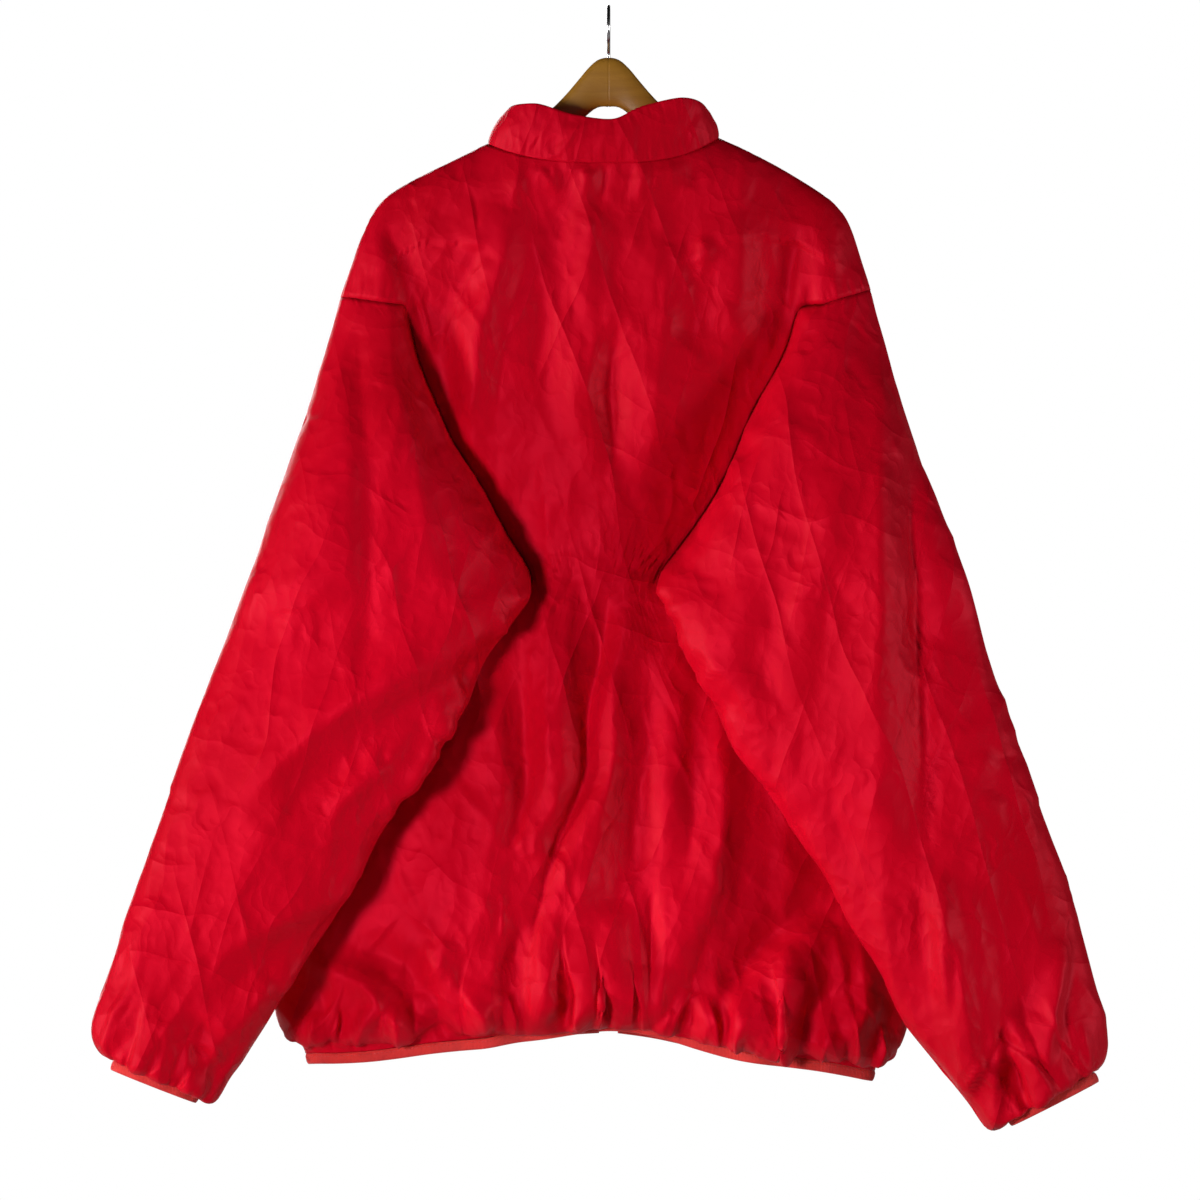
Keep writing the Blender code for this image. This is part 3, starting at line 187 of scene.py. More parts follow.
# %% A small helper for node materials
class Finish:
    """A material, and short words for the nodes that feed its shader."""

    def __init__(self, name, **values):
        self.material = bpy.data.materials.new(name)
        self.material.use_nodes = True
        self.tree = self.material.node_tree
        self.shader = self.tree.nodes["Principled BSDF"]
        for socket, value in values.items():
            self.shader.inputs[socket.replace("_", " ")].default_value = value
        self.place = self.node("TexCoord").outputs["Object"]

    def node(self, kind, **settings):
        made = self.tree.nodes.new("ShaderNode" + kind)
        for name, value in settings.items():
            setattr(made, name, value)
        return made

    def join(self, start, end):
        self.tree.links.new(start, end)

    def stretched(self, scale, turn=(0, 0, 0)):
        made = self.node("Mapping")
        made.inputs["Scale"].default_value = scale
        made.inputs["Rotation"].default_value = turn
        self.join(self.place, made.inputs["Vector"])
        return made.outputs["Vector"]

    def noise(self, scale, detail=2.0, rough=0.5, distort=0.0, where=None):
        made = self.node("TexNoise")
        self.join(where or self.place, made.inputs["Vector"])
        for name, value in (("Scale", scale), ("Detail", detail), ("Roughness", rough),
                            ("Distortion", distort)):
            made.inputs[name].default_value = value
        return made.outputs["Fac"]

    def math(self, kind, a, b):
        made = self.node("Math", operation=kind)
        for k, value in enumerate((a, b)):
            if isinstance(value, (int, float)):
                made.inputs[k].default_value = value
            else:
                self.join(value, made.inputs[k])
        return made.outputs[0]

    def waves(self, where, profile, **settings):
        made = self.node("TexWave", wave_type="BANDS", bands_direction="X", wave_profile=profile)
        self.join(where, made.inputs["Vector"])
        for socket, value in settings.items():
            made.inputs[socket.replace("_", " ")].default_value = value
        return made.outputs["Fac"]

    def bent(self, where, by, share):
        """The places, drawn a little towards another pattern, so that straight lines bend."""
        made = self.node("Mix", data_type="VECTOR")
        made.inputs["Factor"].default_value = share
        a, b = [socket for socket in made.inputs if socket.type == "VECTOR" and socket.name in ("A", "B")]
        self.join(where, a)
        self.join(by, b)
        return next(socket for socket in made.outputs if socket.type == "VECTOR")

    def ramp(self, factor, *stops):
        made = self.node("ValToRGB")
        line = made.color_ramp.elements
        while len(line) < len(stops):
            line.new(0.5)
        for element, (where, colour) in zip(line, stops):
            element.position = where
            element.color = (*colour, 1)
        self.join(factor, made.inputs["Fac"])
        return made.outputs["Color"]

    def blend(self, factor, a, b):
        made = self.node("Mix", data_type="RGBA")
        for socket, value in ((made.inputs["Factor"], factor), (made.inputs[6], a),
                              (made.inputs[7], b)):
            if isinstance(value, (tuple, float, int)):
                socket.default_value = value
            else:
                self.join(value, socket)
        return made.outputs[2]

    def colour(self, output):
        self.join(output, self.shader.inputs["Base Color"])

    def rough(self, factor, low, high):
        made = self.node("MapRange")
        self.join(factor, made.inputs["Value"])
        made.inputs["To Min"].default_value = low
        made.inputs["To Max"].default_value = high
        self.join(made.outputs[0], self.shader.inputs["Roughness"])

    def bump(self, height, deep, under=None, strength=1.0):
        made = self.node("Bump")
        made.inputs["Distance"].default_value = deep
        made.inputs["Strength"].default_value = strength
        self.join(height, made.inputs["Height"])
        if under is not None:
            self.join(under, made.inputs["Normal"])
        return made.outputs["Normal"]

    def skin(self, normal):
        self.join(normal, self.shader.inputs["Normal"])
        return self.material


# %% [markdown]
# The shell is a thin red nylon with a satin face. Its colour is a deep crimson that shifts a little
# over the cloth, and a roughness near 0.5 gives wide satin highlights. Nylon that has been folded
# away keeps thin creases that start and end: three sets of bent triangular waves draw them, each
# shown only where a slow noise is high. Two sizes of cells crumple the faces between the creases,
# as thin nylon does over wadding, and a fine grain stands for the weave.

# %% Nylon
CREASES = (  # turn, pitch, size of the patches where they show, and depth
    (0.5, 20, 9, 2.8 * MM),
    (-0.6, 27, 12, 2.1 * MM),
    (1.4, 34, 10, 1.6 * MM),
)
CRUMPLES = ((30, 9.0 * MM), (75, 3.4 * MM))  # cells to the metre, and depth


def nylon(name, dark, bright):
    made = Finish(name, Roughness=0.5, Sheen_Weight=0.03, Sheen_Roughness=0.35,
                  Specular_IOR_Level=0.6)
    made.shader.inputs["Specular Tint"].default_value = (1.0, 0.03, 0.09, 1)
    made.shader.inputs["Sheen Tint"].default_value = (1.0, 0.06, 0.12, 1)
    made.colour(made.ramp(made.noise(7, 3), (0.3, dark), (0.7, bright)))
    made.rough(made.noise(40, 3), 0.45, 0.55)
    under = None
    for turn, pitch, patch, deep in CREASES:
        bands = made.waves(made.stretched((1, 1, 0.55), (0, turn, 0)), profile="TRI", Scale=pitch / 3,
                           Distortion=5.0, Detail=2.0, Detail_Scale=0.9, Detail_Roughness=0.45,
                           Phase_Offset=turn * 9)
        slow = made.noise(patch, 1, 0.5, 0, made.stretched((1, 1, 0.7), (turn, 0, 2 * turn)))
        shown = made.node("Clamp")
        made.join(made.math("MULTIPLY", made.math("SUBTRACT", slow, 0.42), 4.0), shown.inputs["Value"])
        edges = made.math("MULTIPLY", made.math("POWER", bands, 4.0), shown.outputs[0])
        under = made.bump(edges, deep, under, strength=0.6)
    drawn = made.bent(made.stretched((1, 1, 0.6)), made.noise(26, 2), 0.035)
    for size, deep in CRUMPLES:
        cells = made.node("TexVoronoi", feature="F1")
        made.join(drawn, cells.inputs["Vector"])
        cells.inputs["Scale"].default_value = size
        uneven = made.math("MULTIPLY", cells.outputs["Distance"], made.noise(11, 2))
        under = made.bump(uneven, deep, under, strength=0.55)
    rumple = made.bump(made.noise(85, 3, 0.5, 0.4), 0.8 * MM, under, strength=0.3)
    return made.skin(made.bump(made.noise(1500, 2), 0.12 * MM, rumple, strength=0.6))


SHELL = nylon("red_nylon", (0.52, 0.0002, 0.009), (0.62, 0.0005, 0.014))
print("made", SHELL.name)

# %% [markdown]
# The elastic binding is a ribbed knit, duller and more orange than the shell. The zip tape is a
# plain woven tape of the shell's red, and its teeth are moulded from red plastic.

# %% Binding, tape, plastic and thread
def ribbed(name, deep, bright, ribs, lean):
    made = Finish(name, Roughness=0.72, Sheen_Weight=0.3, Sheen_Roughness=0.5)
    made.colour(made.ramp(made.noise(60, 3), (0.3, deep), (0.7, bright)))
    lines = made.waves(made.stretched((1, 1, 1), lean), profile="SIN", Scale=ribs, Distortion=1.5)
    ridges = made.bump(lines, 0.4 * MM, strength=0.6)
    return made.skin(made.bump(made.noise(1800, 2), 0.2 * MM, ridges, strength=0.7))


BINDING = ribbed("elastic_binding", (0.62, 0.006, 0.008), (0.78, 0.014, 0.010), 260, (0, 0, 0))
TAPE = ribbed("zip_tape", (0.40, 0.003, 0.012), (0.50, 0.005, 0.016), 420, (0, 1.57, 0))

teeth = Finish("moulded_teeth", Roughness=0.32, Coat_Weight=0.2, Coat_Roughness=0.2)
teeth.colour(teeth.ramp(teeth.noise(90, 2), (0.3, (0.42, 0.004, 0.014)), (0.7, (0.52, 0.006, 0.018))))
TEETH = teeth.skin(teeth.bump(teeth.noise(900, 2), 0.0001, strength=0.4))

thread = Finish("sewing_thread", Roughness=0.5, Sheen_Weight=0.2)
thread.colour(thread.ramp(thread.noise(300, 2), (0.3, (0.55, 0.006, 0.014)), (0.7, (0.70, 0.012, 0.02))))
THREAD = thread.skin(thread.bump(thread.noise(2600, 2), 0.0001, strength=0.8))

# %% [markdown]
# The hanger is turned and varnished wood: long grain lines that follow the bar, darker pores, and a
# clear coat. Its hook is bright steel wire, and the zip's slider is dull cast metal.

# %% Wood and metal
wood = Finish("varnished_wood", Roughness=0.4, Coat_Weight=0.35, Coat_Roughness=0.22)
flow = wood.stretched((9, 60, 60), (0, math.radians(22), 0))
lines = wood.noise(1.6, 6, 0.62, 0.8, flow)
pores = wood.noise(9, 4, 0.7, 0.2, wood.stretched((14, 160, 160), (0, math.radians(22), 0)))
body = wood.ramp(lines, (0.2, (0.30, 0.125, 0.010)), (0.5, (0.37, 0.165, 0.014)),
                 (0.8, (0.43, 0.20, 0.022)))
dark_pores = wood.math("MULTIPLY", wood.math("GREATER_THAN", pores, 0.62), 0.35)
wood.colour(wood.blend(dark_pores, body, (0.24, 0.09, 0.010, 1)))
wood.rough(pores, 0.34, 0.52)
WOOD = wood.skin(wood.bump(pores, 0.0002, strength=0.4))

steel = Finish("bright_steel", Metallic=1.0, Roughness=0.2)
steel.colour(steel.ramp(steel.noise(200, 2), (0.3, (0.56, 0.56, 0.57)), (0.7, (0.68, 0.68, 0.69))))
steel.rough(steel.noise(400, 3), 0.14, 0.3)
STEEL = steel.skin(steel.bump(steel.noise(900, 2), 0.00005, strength=0.5))

cast = Finish("cast_zip_metal", Metallic=1.0, Roughness=0.36)
cast.colour(cast.ramp(cast.noise(260, 3), (0.3, (0.44, 0.44, 0.45)), (0.7, (0.60, 0.60, 0.61))))
cast.rough(cast.noise(500, 3), 0.26, 0.46)
CAST = cast.skin(cast.bump(cast.noise(1400, 2), 0.00008, strength=0.6))

pale = Finish("pale_floor", Roughness=0.8)
pale.colour(pale.ramp(pale.noise(3, 2), (0.3, (0.80, 0.80, 0.80)), (0.7, (0.84, 0.84, 0.83))))
floor_mesh.materials.append(pale.skin(pale.bump(pale.noise(300, 2), 0.0002, strength=0.3)))
print("finishes:", len(bpy.data.materials))

# %% [markdown]
# ## From a padded wall to one skin of cloth
#
# A cloth solid of the frame is a wall: an outer face, an inner face, and a narrow rim where it is
# sewn. Its outer face is the start of the real cloth. Outer and inner faces match one by one, so the
# helper walks over both at the same time, starting from one pair. A step that reaches the partner of
# a point it already knows has stepped onto the rim, and stops there.

# %% Walk over one side of a wall
def opposite_points(wall):
    """Each point's partner on the wall's other side: the two are each other's nearest point."""
    tree = KDTree(len(wall.verts))
    for v in wall.verts:
        tree.insert(v.co, v.index)
    tree.balance()
    nearest = [tree.find_n(v.co, 2)[1][1] for v in wall.verts]
    return {i: j for i, j in enumerate(nearest) if nearest[j] == i}


def one_side(wall, partner, start):
    """Every point on the same side as the start. A step is safe where the partners are joined too."""
    joined = {tuple(sorted(v.index for v in edge.verts)) for edge in wall.edges}
    side = {start}
    todo = [start]
    while todo:
        here = todo.pop()
        for edge in wall.verts[here].link_edges:
            there = edge.other_vert(wall.verts[here]).index
            if there in side or there not in partner or partner[here] == there:
                continue
            if tuple(sorted((partner[here], partner[there]))) in joined:
                side.add(there)
                todo.append(there)
    return side


# %% [markdown]
# The few points on the rim itself belong to neither side yet. Each joins the side whose normals are
# most like its own. What is left when all other faces are deleted is the skin, and its triangles
# are joined to quads again, because quads subdivide into smooth cloth.

# %% Take the outer face of a wall
def outer_skin(node, way):
    wall = bmesh.new()
    wall.from_mesh(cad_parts[node].data)
    bmesh.ops.remove_doubles(wall, verts=wall.verts, dist=2e-6)
    wall.verts.ensure_lookup_table()
    wall.verts.index_update()
    wall.normal_update()
    partner = opposite_points(wall)
    way = Vector(way)
    start = max((v for v in wall.verts if v.index in partner and v.normal.dot(way) > 0.8),
                key=lambda v: v.co.dot(way)).index
    side = one_side(wall, partner, start)
    other = {partner[i] for i in side}
    unsure = [v for v in wall.verts if v.index not in side and v.index not in other]
    while unsure:
        votes = []
        for v in unsure:
            vote = 0.0
            for edge in v.link_edges:
                u = edge.other_vert(v)
                like = v.normal.dot(u.normal)
                vote += like if u.index in side else -like if u.index in other else 0.0
            votes.append((abs(vote), vote > 0, v))
        _, ours, v = max(votes, key=lambda vote: vote[0])
        (side if ours else other).add(v.index)
        unsure.remove(v)
    print(node, len(wall.verts), "points,", len(side), "outside and", len(other), "inside")
    bmesh.ops.delete(wall, geom=[f for f in wall.faces if not all(v.index in side for v in f.verts)],
                     context="FACES")
    bmesh.ops.join_triangles(wall, faces=wall.faces[:], angle_face_threshold=math.pi,
                             angle_shape_threshold=math.pi, topology_influence=1.0)
    mesh = bpy.data.meshes.new(node + "_skin")
    wall.to_mesh(mesh)
    wall.free()
    return mesh


# %% [markdown]
# A Subdivision Surface modifier, applied one level at a time, makes a skin finer and keeps its old
# points first in the list, which later lets a coarse and a fine skin be sewn together. The other
# helpers read and write all points of a mesh at once, as numpy arrays.

# %% Make a skin finer
def finer(mesh, name, levels):
    """The same skin, subdivided. The first points of the new mesh are the old mesh's points."""
    made = mesh.copy()
    for _ in range(levels):
        holder = bpy.data.objects.new(name, made)
        scene.collection.objects.link(holder)
        steps = holder.modifiers.new("finer", "SUBSURF")
        steps.levels = steps.render_levels = 1
        steps.boundary_smooth = "PRESERVE_CORNERS"
        steps.use_limit_surface = False
        graph = bpy.context.evaluated_depsgraph_get()
        made = bpy.data.meshes.new_from_object(holder.evaluated_get(graph))
        bpy.data.objects.remove(holder)
    made.name = name
    return made


def points(mesh):
    made = np.empty(len(mesh.vertices) * 3, np.float32)
    mesh.vertices.foreach_get("co", made)
    return made.reshape(-1, 3).astype(float)


def move_to(mesh, places):
    mesh.vertices.foreach_set("co", np.asarray(places, np.float32).ravel())
    mesh.update()


def normals(mesh):
    made = np.empty(len(mesh.vertices) * 3, np.float32)
    mesh.vertex_normals.foreach_get("vector", made)
    return made.reshape(-1, 3).astype(float)


# %% [markdown]
# The six cloth pieces follow. For each, the lesson says which way its outer face looks at its
# furthest point, and that is enough for the helper to find the whole face.

# %% Six skins
CLOTH = {
    "back": (0, -1, 0),
    "front_left": (0, 1, 0),
    "front_right": (0, 1, 0),
    "sleeve_left": (0, -1, 0),
    "sleeve_right": (0, -1, 0),
    "collar": (0, -1, 0),
}
skins = {}
for node, way in CLOTH.items():
    skins[node] = outer_skin(node, way)
    triangles = sum(len(face.vertices) == 3 for face in skins[node].polygons)
    print(node, len(skins[node].polygons), "faces,", triangles, "of them triangles")

# %% [markdown]
# ## Folds
#
# A fold that hangs from a shoulder or runs out of an underarm is a long ridge or trough. Across its
# line it is shaped like a tent: flat flanks that meet in a narrow ridge, because thin nylon over
# wadding creases rather than bends. The ridge is sharpest at a sharpness of one.

# %% One fold along a line
def along_line(where, line, wide, high, sharp=1.6, lean=1.0):
    """How far a fold lifts each place: a tent across the line, fading out at its two ends. Lean
    widens or narrows the flank to the right of a line drawn downwards, for a knife-edged pleat."""
    line = np.array(line, float)
    lift = np.zeros(len(where))
    reach = 3.2 * wide * max(1.0, lean)
    close = np.all((where > line.min(axis=0) - reach) & (where < line.max(axis=0) + reach), axis=1)
    if not close.any():
        return lift
    where = where[close]
    spans = np.linalg.norm(np.diff(line, axis=0), axis=1)
    starts = np.concatenate([[0], np.cumsum(spans)])
    near = np.full(len(where), 1e9)
    at = np.zeros(len(where))
    side = np.ones(len(where))
    for k, span in enumerate(spans):
        run = (line[k + 1] - line[k]) / span
        away = where - line[k]
        t = np.clip(away @ run, 0, span)
        gap = away - t[:, None] * run
        far = np.linalg.norm(gap, axis=1)
        closer = far < near
        near[closer] = far[closer]
        at[closer] = (starts[k] + t[closer]) / starts[-1]
        side[closer] = np.sign(run[0] * gap[closer, 1] - run[1] * gap[closer, 0])
    width = wide * np.where(side > 0, lean, 1.0)
    ends = np.clip(np.sin(np.pi * np.clip(at, 0.004, 0.996)), 0, 1) ** 0.75
    t = near / width
    tent = np.clip(1.25 - np.sqrt(t * t * 0.36 + 0.06 * (sharp - 1)), 0, None) * 0.8
    lift[close] = high * ends * np.where(tent > 0, tent ** 1.35, 0)
    return lift


# %% [markdown]
# The folds of the back are placed in the picture's own units. From the top down they are the
# yoke's two steps, the long vertical bands between the sleeves, the bands below the waist, and the
# slanted pulls towards the hem's corners. Each row holds a line, its width and height in
# millimetres, its sharpness and its lean. A trough has a height below zero.

# %% Folds of the back
BACK_FOLDS = [
    ([(384, 222), (391, 245), (400, 272), (413, 330)], 4, -4, 1.3, 7),
    ([(350, 205), (365, 250), (380, 305)], 18, 2, 1.5, 1.0),
    ([(800, 222), (796, 248), (791, 275), (783, 330)], 30, -4, 1.3, 0.15),
    ([(838, 205), (828, 250), (815, 305)], 18, 2, 1.5, 1.0),
    ([(862, 225), (850, 262), (838, 300)], 9, -2, 1.3, 1.0),
    ([(512, 205), (497, 270), (480, 343), (470, 430), (474, 480)], 30, 9, 1.3, 0.35),
    ([(478, 240), (452, 320), (446, 400), (466, 470)], 20, -8, 1.4, 1.0),
    ([(425, 215), (430, 280), (436, 350)], 16, 4, 1.4, 1.0),
    ([(560, 190), (548, 290), (552, 400), (560, 500)], 24, -4, 1.5, 1.0),
    ([(590, 200), (583, 300), (577, 400), (585, 500)], 18, 5, 1.3, 1.3),
    ([(618, 320), (613, 400), (612, 480)], 9, -5, 1.3, 1.0),
    ([(650, 230), (660, 330), (655, 430), (635, 520)], 24, 5, 1.4, 0.6),
    ([(700, 236), (704, 250), (692, 266)], 6, 3, 1.1, 1.0),
    ([(735, 210), (742, 300), (735, 380)], 20, 5, 1.4, 1.0),
    ([(765, 240), (762, 320), (745, 400)], 14, -5, 1.4, 1.0),
    ([(700, 330), (690, 420), (670, 490)], 20, 4, 1.4, 1.0),
    ([(612, 590), (602, 660), (593, 706), (584, 774), (565, 830), (546, 880), (530, 960)],
     15, -10, 1.1, 0.5),
    ([(574, 578), (566, 680), (556, 790), (540, 880), (525, 960)], 26, 8, 1.3, 0.5),
    ([(634, 570), (622, 694), (604, 787), (586, 868), (578, 930)], 22, 8, 1.3, 1.2),
    ([(650, 640), (648, 740), (630, 840), (618, 930)], 16, -6, 1.3, 1.0),
    ([(676, 640), (672, 760), (660, 860)], 20, 6, 1.4, 1.0),
    ([(716, 700), (722, 790), (712, 880), (700, 950)], 20, 6, 1.4, 0.6),
    ([(695, 690), (690, 800), (684, 900)], 12, -5, 1.4, 1.0),
    ([(655, 880), (652, 960), (648, 1045)], 10, -6, 1.2, 0.6),
    ([(612, 900), (606, 970), (610, 1030)], 26, 7, 1.7, 1.0),
    ([(500, 690), (498, 800), (485, 900), (470, 960)], 24, 7, 1.4, 0.5),
    ([(520, 660), (522, 780), (512, 880)], 12, -5, 1.4, 1.0),
    ([(455, 780), (440, 870), (430, 940)], 20, 5, 1.4, 1.0),
    ([(310, 962), (360, 985), (415, 1038)], 14, 6, 1.3, 0.6),
    ([(330, 935), (400, 965), (450, 1035)], 14, -5, 1.4, 1.0),
    ([(395, 930), (440, 975), (490, 1030)], 14, 5, 1.3, 1.0),
    ([(700, 1036), (752, 965), (818, 893)], 14, -7, 1.3, 1.0),
    ([(735, 1040), (785, 980), (838, 925)], 18, 7, 1.3, 1.0),
    ([(790, 1045), (830, 1000), (868, 975)], 10, -5, 1.3, 1.0),
    ([(830, 1050), (862, 1020), (885, 1000)], 12, 5, 1.3, 1.0),
]
print(len(BACK_FOLDS), "folds on the back")

# %% [markdown]
# A full sleeve that hangs straight keeps one long pleat down its length, pulls that run out of the
# underarm, and short ones where it gathers at the wrist. The first rows are those of the sleeve on
# the right, with its pleat and the trough beside it, and the others those of the left sleeve.

# %% Folds of the sleeves
SLEEVE_FOLDS = [
    ([(876, 300), (878, 480), (879, 650), (878, 880)], 30, 11, 1.0, 0.55),
    ([(906, 455), (921, 570), (926, 740), (922, 860)], 13, -10, 1.1, 0.6),
    ([(932, 430), (950, 540), (972, 640), (990, 720)], 13, 8, 1.2, 0.7),
    ([(842, 470), (803, 600), (792, 720)], 24, 7, 1.3, 0.5),
    ([(822, 480), (782, 600), (760, 700)], 16, -4, 1.4, 1.0),
    ([(832, 322), (800, 420), (765, 520)], 22, 5, 1.4, 1.0),
    ([(780, 420), (740, 500), (700, 570)], 14, 4, 1.3, 1.6),
    ([(690, 600), (722, 665), (760, 730)], 14, 5, 1.3, 1.0),
    ([(745, 560), (735, 640), (750, 720)], 12, 4, 1.3, 1.0),
    ([(1012, 686), (985, 725), (955, 765)], 8, 5, 1.1, 1.6),
    ([(1020, 722), (990, 752), (972, 780)], 7, 4, 1.1, 1.0),
    ([(930, 760), (985, 748), (1030, 760)], 7, -4, 1.2, 1.0),
    ([(875, 870), (885, 930), (900, 1000)], 8, 6, 1.1, 2.0),
    ([(943, 870), (945, 950), (948, 1015)], 8, 6, 1.1, 0.5),
    ([(1067, 935), (1052, 1010), (1043, 1085)], 16, 8, 1.2, 0.3),
    ([(1035, 960), (1025, 1020), (1018, 1080)], 12, -6, 1.3, 1.0),
    ([(942, 870), (962, 980), (976, 1085)], 15, 7, 1.2, 0.4),
    ([(1000, 900), (1003, 980), (1000, 1060)], 12, -5, 1.3, 1.0),
    ([(820, 860), (850, 920), (880, 980)], 12, 5, 1.3, 1.0),
    ([(830, 760), (838, 830), (850, 890)], 14, -4, 1.4, 1.0),
    ([(355, 320), (366, 450), (370, 600), (358, 730)], 8, -3.5, 1.2, 1.0),
    ([(386, 322), (402, 430), (425, 530), (448, 600)], 14, 5, 1.2, 0.6),
    ([(350, 330), (330, 460), (300, 600)], 24, 4, 1.5, 1.0),
    ([(410, 360), (440, 450), (480, 530)], 10, -4, 1.3, 1.0),
    ([(522, 622), (420, 668), (330, 718), (238, 805)], 22, 8, 1.2, 0.45),
    ([(505, 650), (410, 705), (335, 765), (260, 840)], 16, -6, 1.3, 1.0),
    ([(455, 690), (430, 740), (395, 805)], 8, 5, 1.1, 1.0),
    ([(445, 742), (412, 772), (392, 812)], 6, 4, 1.1, 1.0),
    ([(402, 738), (372, 780), (330, 805)], 8, 4, 1.1, 1.0),
    ([(300, 770), (255, 860), (215, 930)], 20, 4, 1.4, 1.0),
    ([(392, 878), (310, 905), (218, 952)], 18, 6, 1.3, 0.5),
    ([(372, 908), (290, 955), (200, 1000)], 14, -5, 1.4, 1.0),
    ([(330, 950), (270, 985), (215, 1050)], 12, 5, 1.2, 1.0),
    ([(150, 900), (140, 960), (135, 1010)], 14, 4, 1.4, 1.0),
]
print(len(SLEEVE_FOLDS), "folds on the sleeves")

# %% [markdown]
# The picture doesn't show the fronts of the jacket and of the sleeves. Their folds are alike in size
# and run, but they aren't a mirror image of those on the back.

# %% Folds of the hidden side
HIDDEN_FOLDS = [
    ([(520, 230), (505, 360), (515, 520), (500, 700)], 20, 6, 1.3, 0.5),
    ([(545, 300), (540, 480), (548, 640)], 14, -4, 1.4, 1.0),
    ([(690, 240), (705, 380), (690, 560)], 20, 6, 1.3, 1.8),
    ([(665, 420), (672, 560), (668, 700)], 14, -4, 1.4, 1.0),
    ([(470, 560), (460, 720), (470, 880)], 22, 7, 1.3, 0.5),
    ([(430, 640), (425, 780), (418, 900)], 16, -5, 1.4, 1.0),
    ([(730, 600), (745, 760), (735, 900)], 22, 7, 1.3, 1.5),
    ([(775, 640), (785, 780), (790, 900)], 16, -5, 1.4, 1.0),
    ([(345, 420), (330, 560), (300, 700)], 20, 6, 1.3, 0.4),
    ([(330, 640), (270, 760), (220, 850)], 20, 6, 1.3, 0.5),
    ([(380, 560), (345, 680), (300, 800)], 14, -5, 1.4, 1.0),
    ([(870, 420), (890, 580), (930, 740)], 20, 6, 1.3, 0.5),
    ([(900, 640), (960, 780), (1000, 880)], 20, 6, 1.3, 1.6),
    ([(850, 600), (900, 740), (950, 860)], 14, -5, 1.4, 1.0),
    ([(820, 700), (870, 800), (920, 930)], 14, 5, 1.3, 1.0),
    ([(400, 700), (350, 800), (280, 930)], 14, 5, 1.3, 1.0),
]
print(len(HIDDEN_FOLDS), "folds on the hidden side")

# %% [markdown]
# Where thin cloth is gathered or bent sharply, short creases run across the line in a row: over the
# inner edges of the sleeves, at the underarms, above the hem and at the cuffs. The helper lays such
# a row along a line, uneven in length, angle and height, with a fixed seed.

# %% Rows of short creases
def row_of_creases(line, count, long, tilt, wide, high, seed, shift=0.0):
    chance = np.random.default_rng(seed)
    line = np.array(line, float)
    spans = np.linalg.norm(np.diff(line, axis=0), axis=1)
    walk = np.concatenate([[0], np.cumsum(spans)])
    made = []
    for k in range(count):
        at = (k + chance.uniform(0.1, 0.9)) / count * walk[-1]
        middle = np.array([np.interp(at, walk, line[:, 0]), np.interp(at, walk, line[:, 1])])
        ahead = np.array([np.interp(at + 4, walk, line[:, 0]), np.interp(at + 4, walk, line[:, 1])])
        turn = math.atan2(*(ahead - middle)[::-1]) + math.radians(tilt + chance.normal(0, 16))
        run = np.array([math.cos(turn), math.sin(turn)])
        half = chance.uniform(*long) / 2
        middle = middle + run * half * shift
        bow = np.array([-run[1], run[0]]) * chance.uniform(-0.18, 0.18) * half
        tall = chance.uniform(*high) * chance.choice([1, 1, -1])
        made.append(([middle - run * half, middle + bow, middle + run * half],
                     chance.uniform(*wide), tall, 1.15, chance.choice([0.4, 1.0, 2.2])))
    return made


# %% [markdown]
# Each row below names its line, how many creases it has, their length, how they stand to the line,
# their width and height, and the seed.

# %% Creases along the hem, the sleeves and the cuffs
HEM_LINE = [(300, 1040), (420, 1046), (520, 1034), (610, 1028), (700, 1044), (800, 1062), (880, 1066)]
TOP_LINE = [(500, 180), (560, 176), (650, 176), (700, 172)]
LEFT_UNDERARM = [(507, 627), (491, 653), (465, 703), (440, 738), (416, 792), (389, 829)]
RIGHT_UNDERARM = [(646, 596), (666, 627), (698, 668), (746, 766), (793, 837)]
LEFT_EDGE = [(423, 370), (457, 448), (490, 512), (535, 580)]
RIGHT_EDGE = [(770, 389), (727, 475), (698, 518), (655, 585)]
LEFT_CUFF = [(100, 1035), (136, 1062), (195, 1085), (238, 1050)]
RIGHT_CUFF = [(1092, 1055), (1057, 1075), (1005, 1105), (962, 1080)]
RIGHT_SEAM = [(830, 306), (872, 294)]
LEFT_CUFF_FRONT = [(100, 1035), (150, 1060), (238, 1050)]
RIGHT_CUFF_FRONT = [(1092, 1055), (1030, 1090), (962, 1080)]
BACK_ROWS = (
    (HEM_LINE, 40, (25, 70), -90, (4, 8), (2.0, 4.5), 3, 0.9),
    (HEM_LINE, 26, (60, 150), -90, (8, 14), (2.5, 5.0), 4, 0.9),
    (TOP_LINE, 12, (25, 60), 90, (4, 8), (0.8, 2.0), 5),
)
SLEEVE_ROWS = (
    (LEFT_UNDERARM, 22, (25, 70), -60, (3.5, 7), (1.5, 4.0), 6),
    (RIGHT_UNDERARM, 22, (25, 70), 60, (3.5, 7), (1.5, 4.0), 7),
    (LEFT_EDGE, 14, (25, 60), 70, (4, 8), (1.2, 3.0), 8),
    (RIGHT_EDGE, 14, (25, 60), 110, (4, 8), (1.2, 3.0), 9),
    (LEFT_CUFF, 14, (30, 100), -90, (4, 9), (1.5, 4.0), 10, 0.7),
    (RIGHT_CUFF, 16, (30, 100), 90, (4, 9), (1.5, 4.0), 12, 0.7),
    (RIGHT_SEAM, 9, (12, 22), -90, (2.5, 4), (1.0, 1.8), 13),
)
HIDDEN_ROWS = (
    (HEM_LINE, 40, (25, 70), -90, (4, 8), (2.0, 4.5), 14, 0.9),
    (LEFT_CUFF_FRONT, 10, (30, 90), -90, (4, 9), (1.5, 4.0), 15, 0.7),
    (RIGHT_CUFF_FRONT, 12, (30, 90), 90, (4, 9), (1.5, 4.0), 16, 0.7),
)
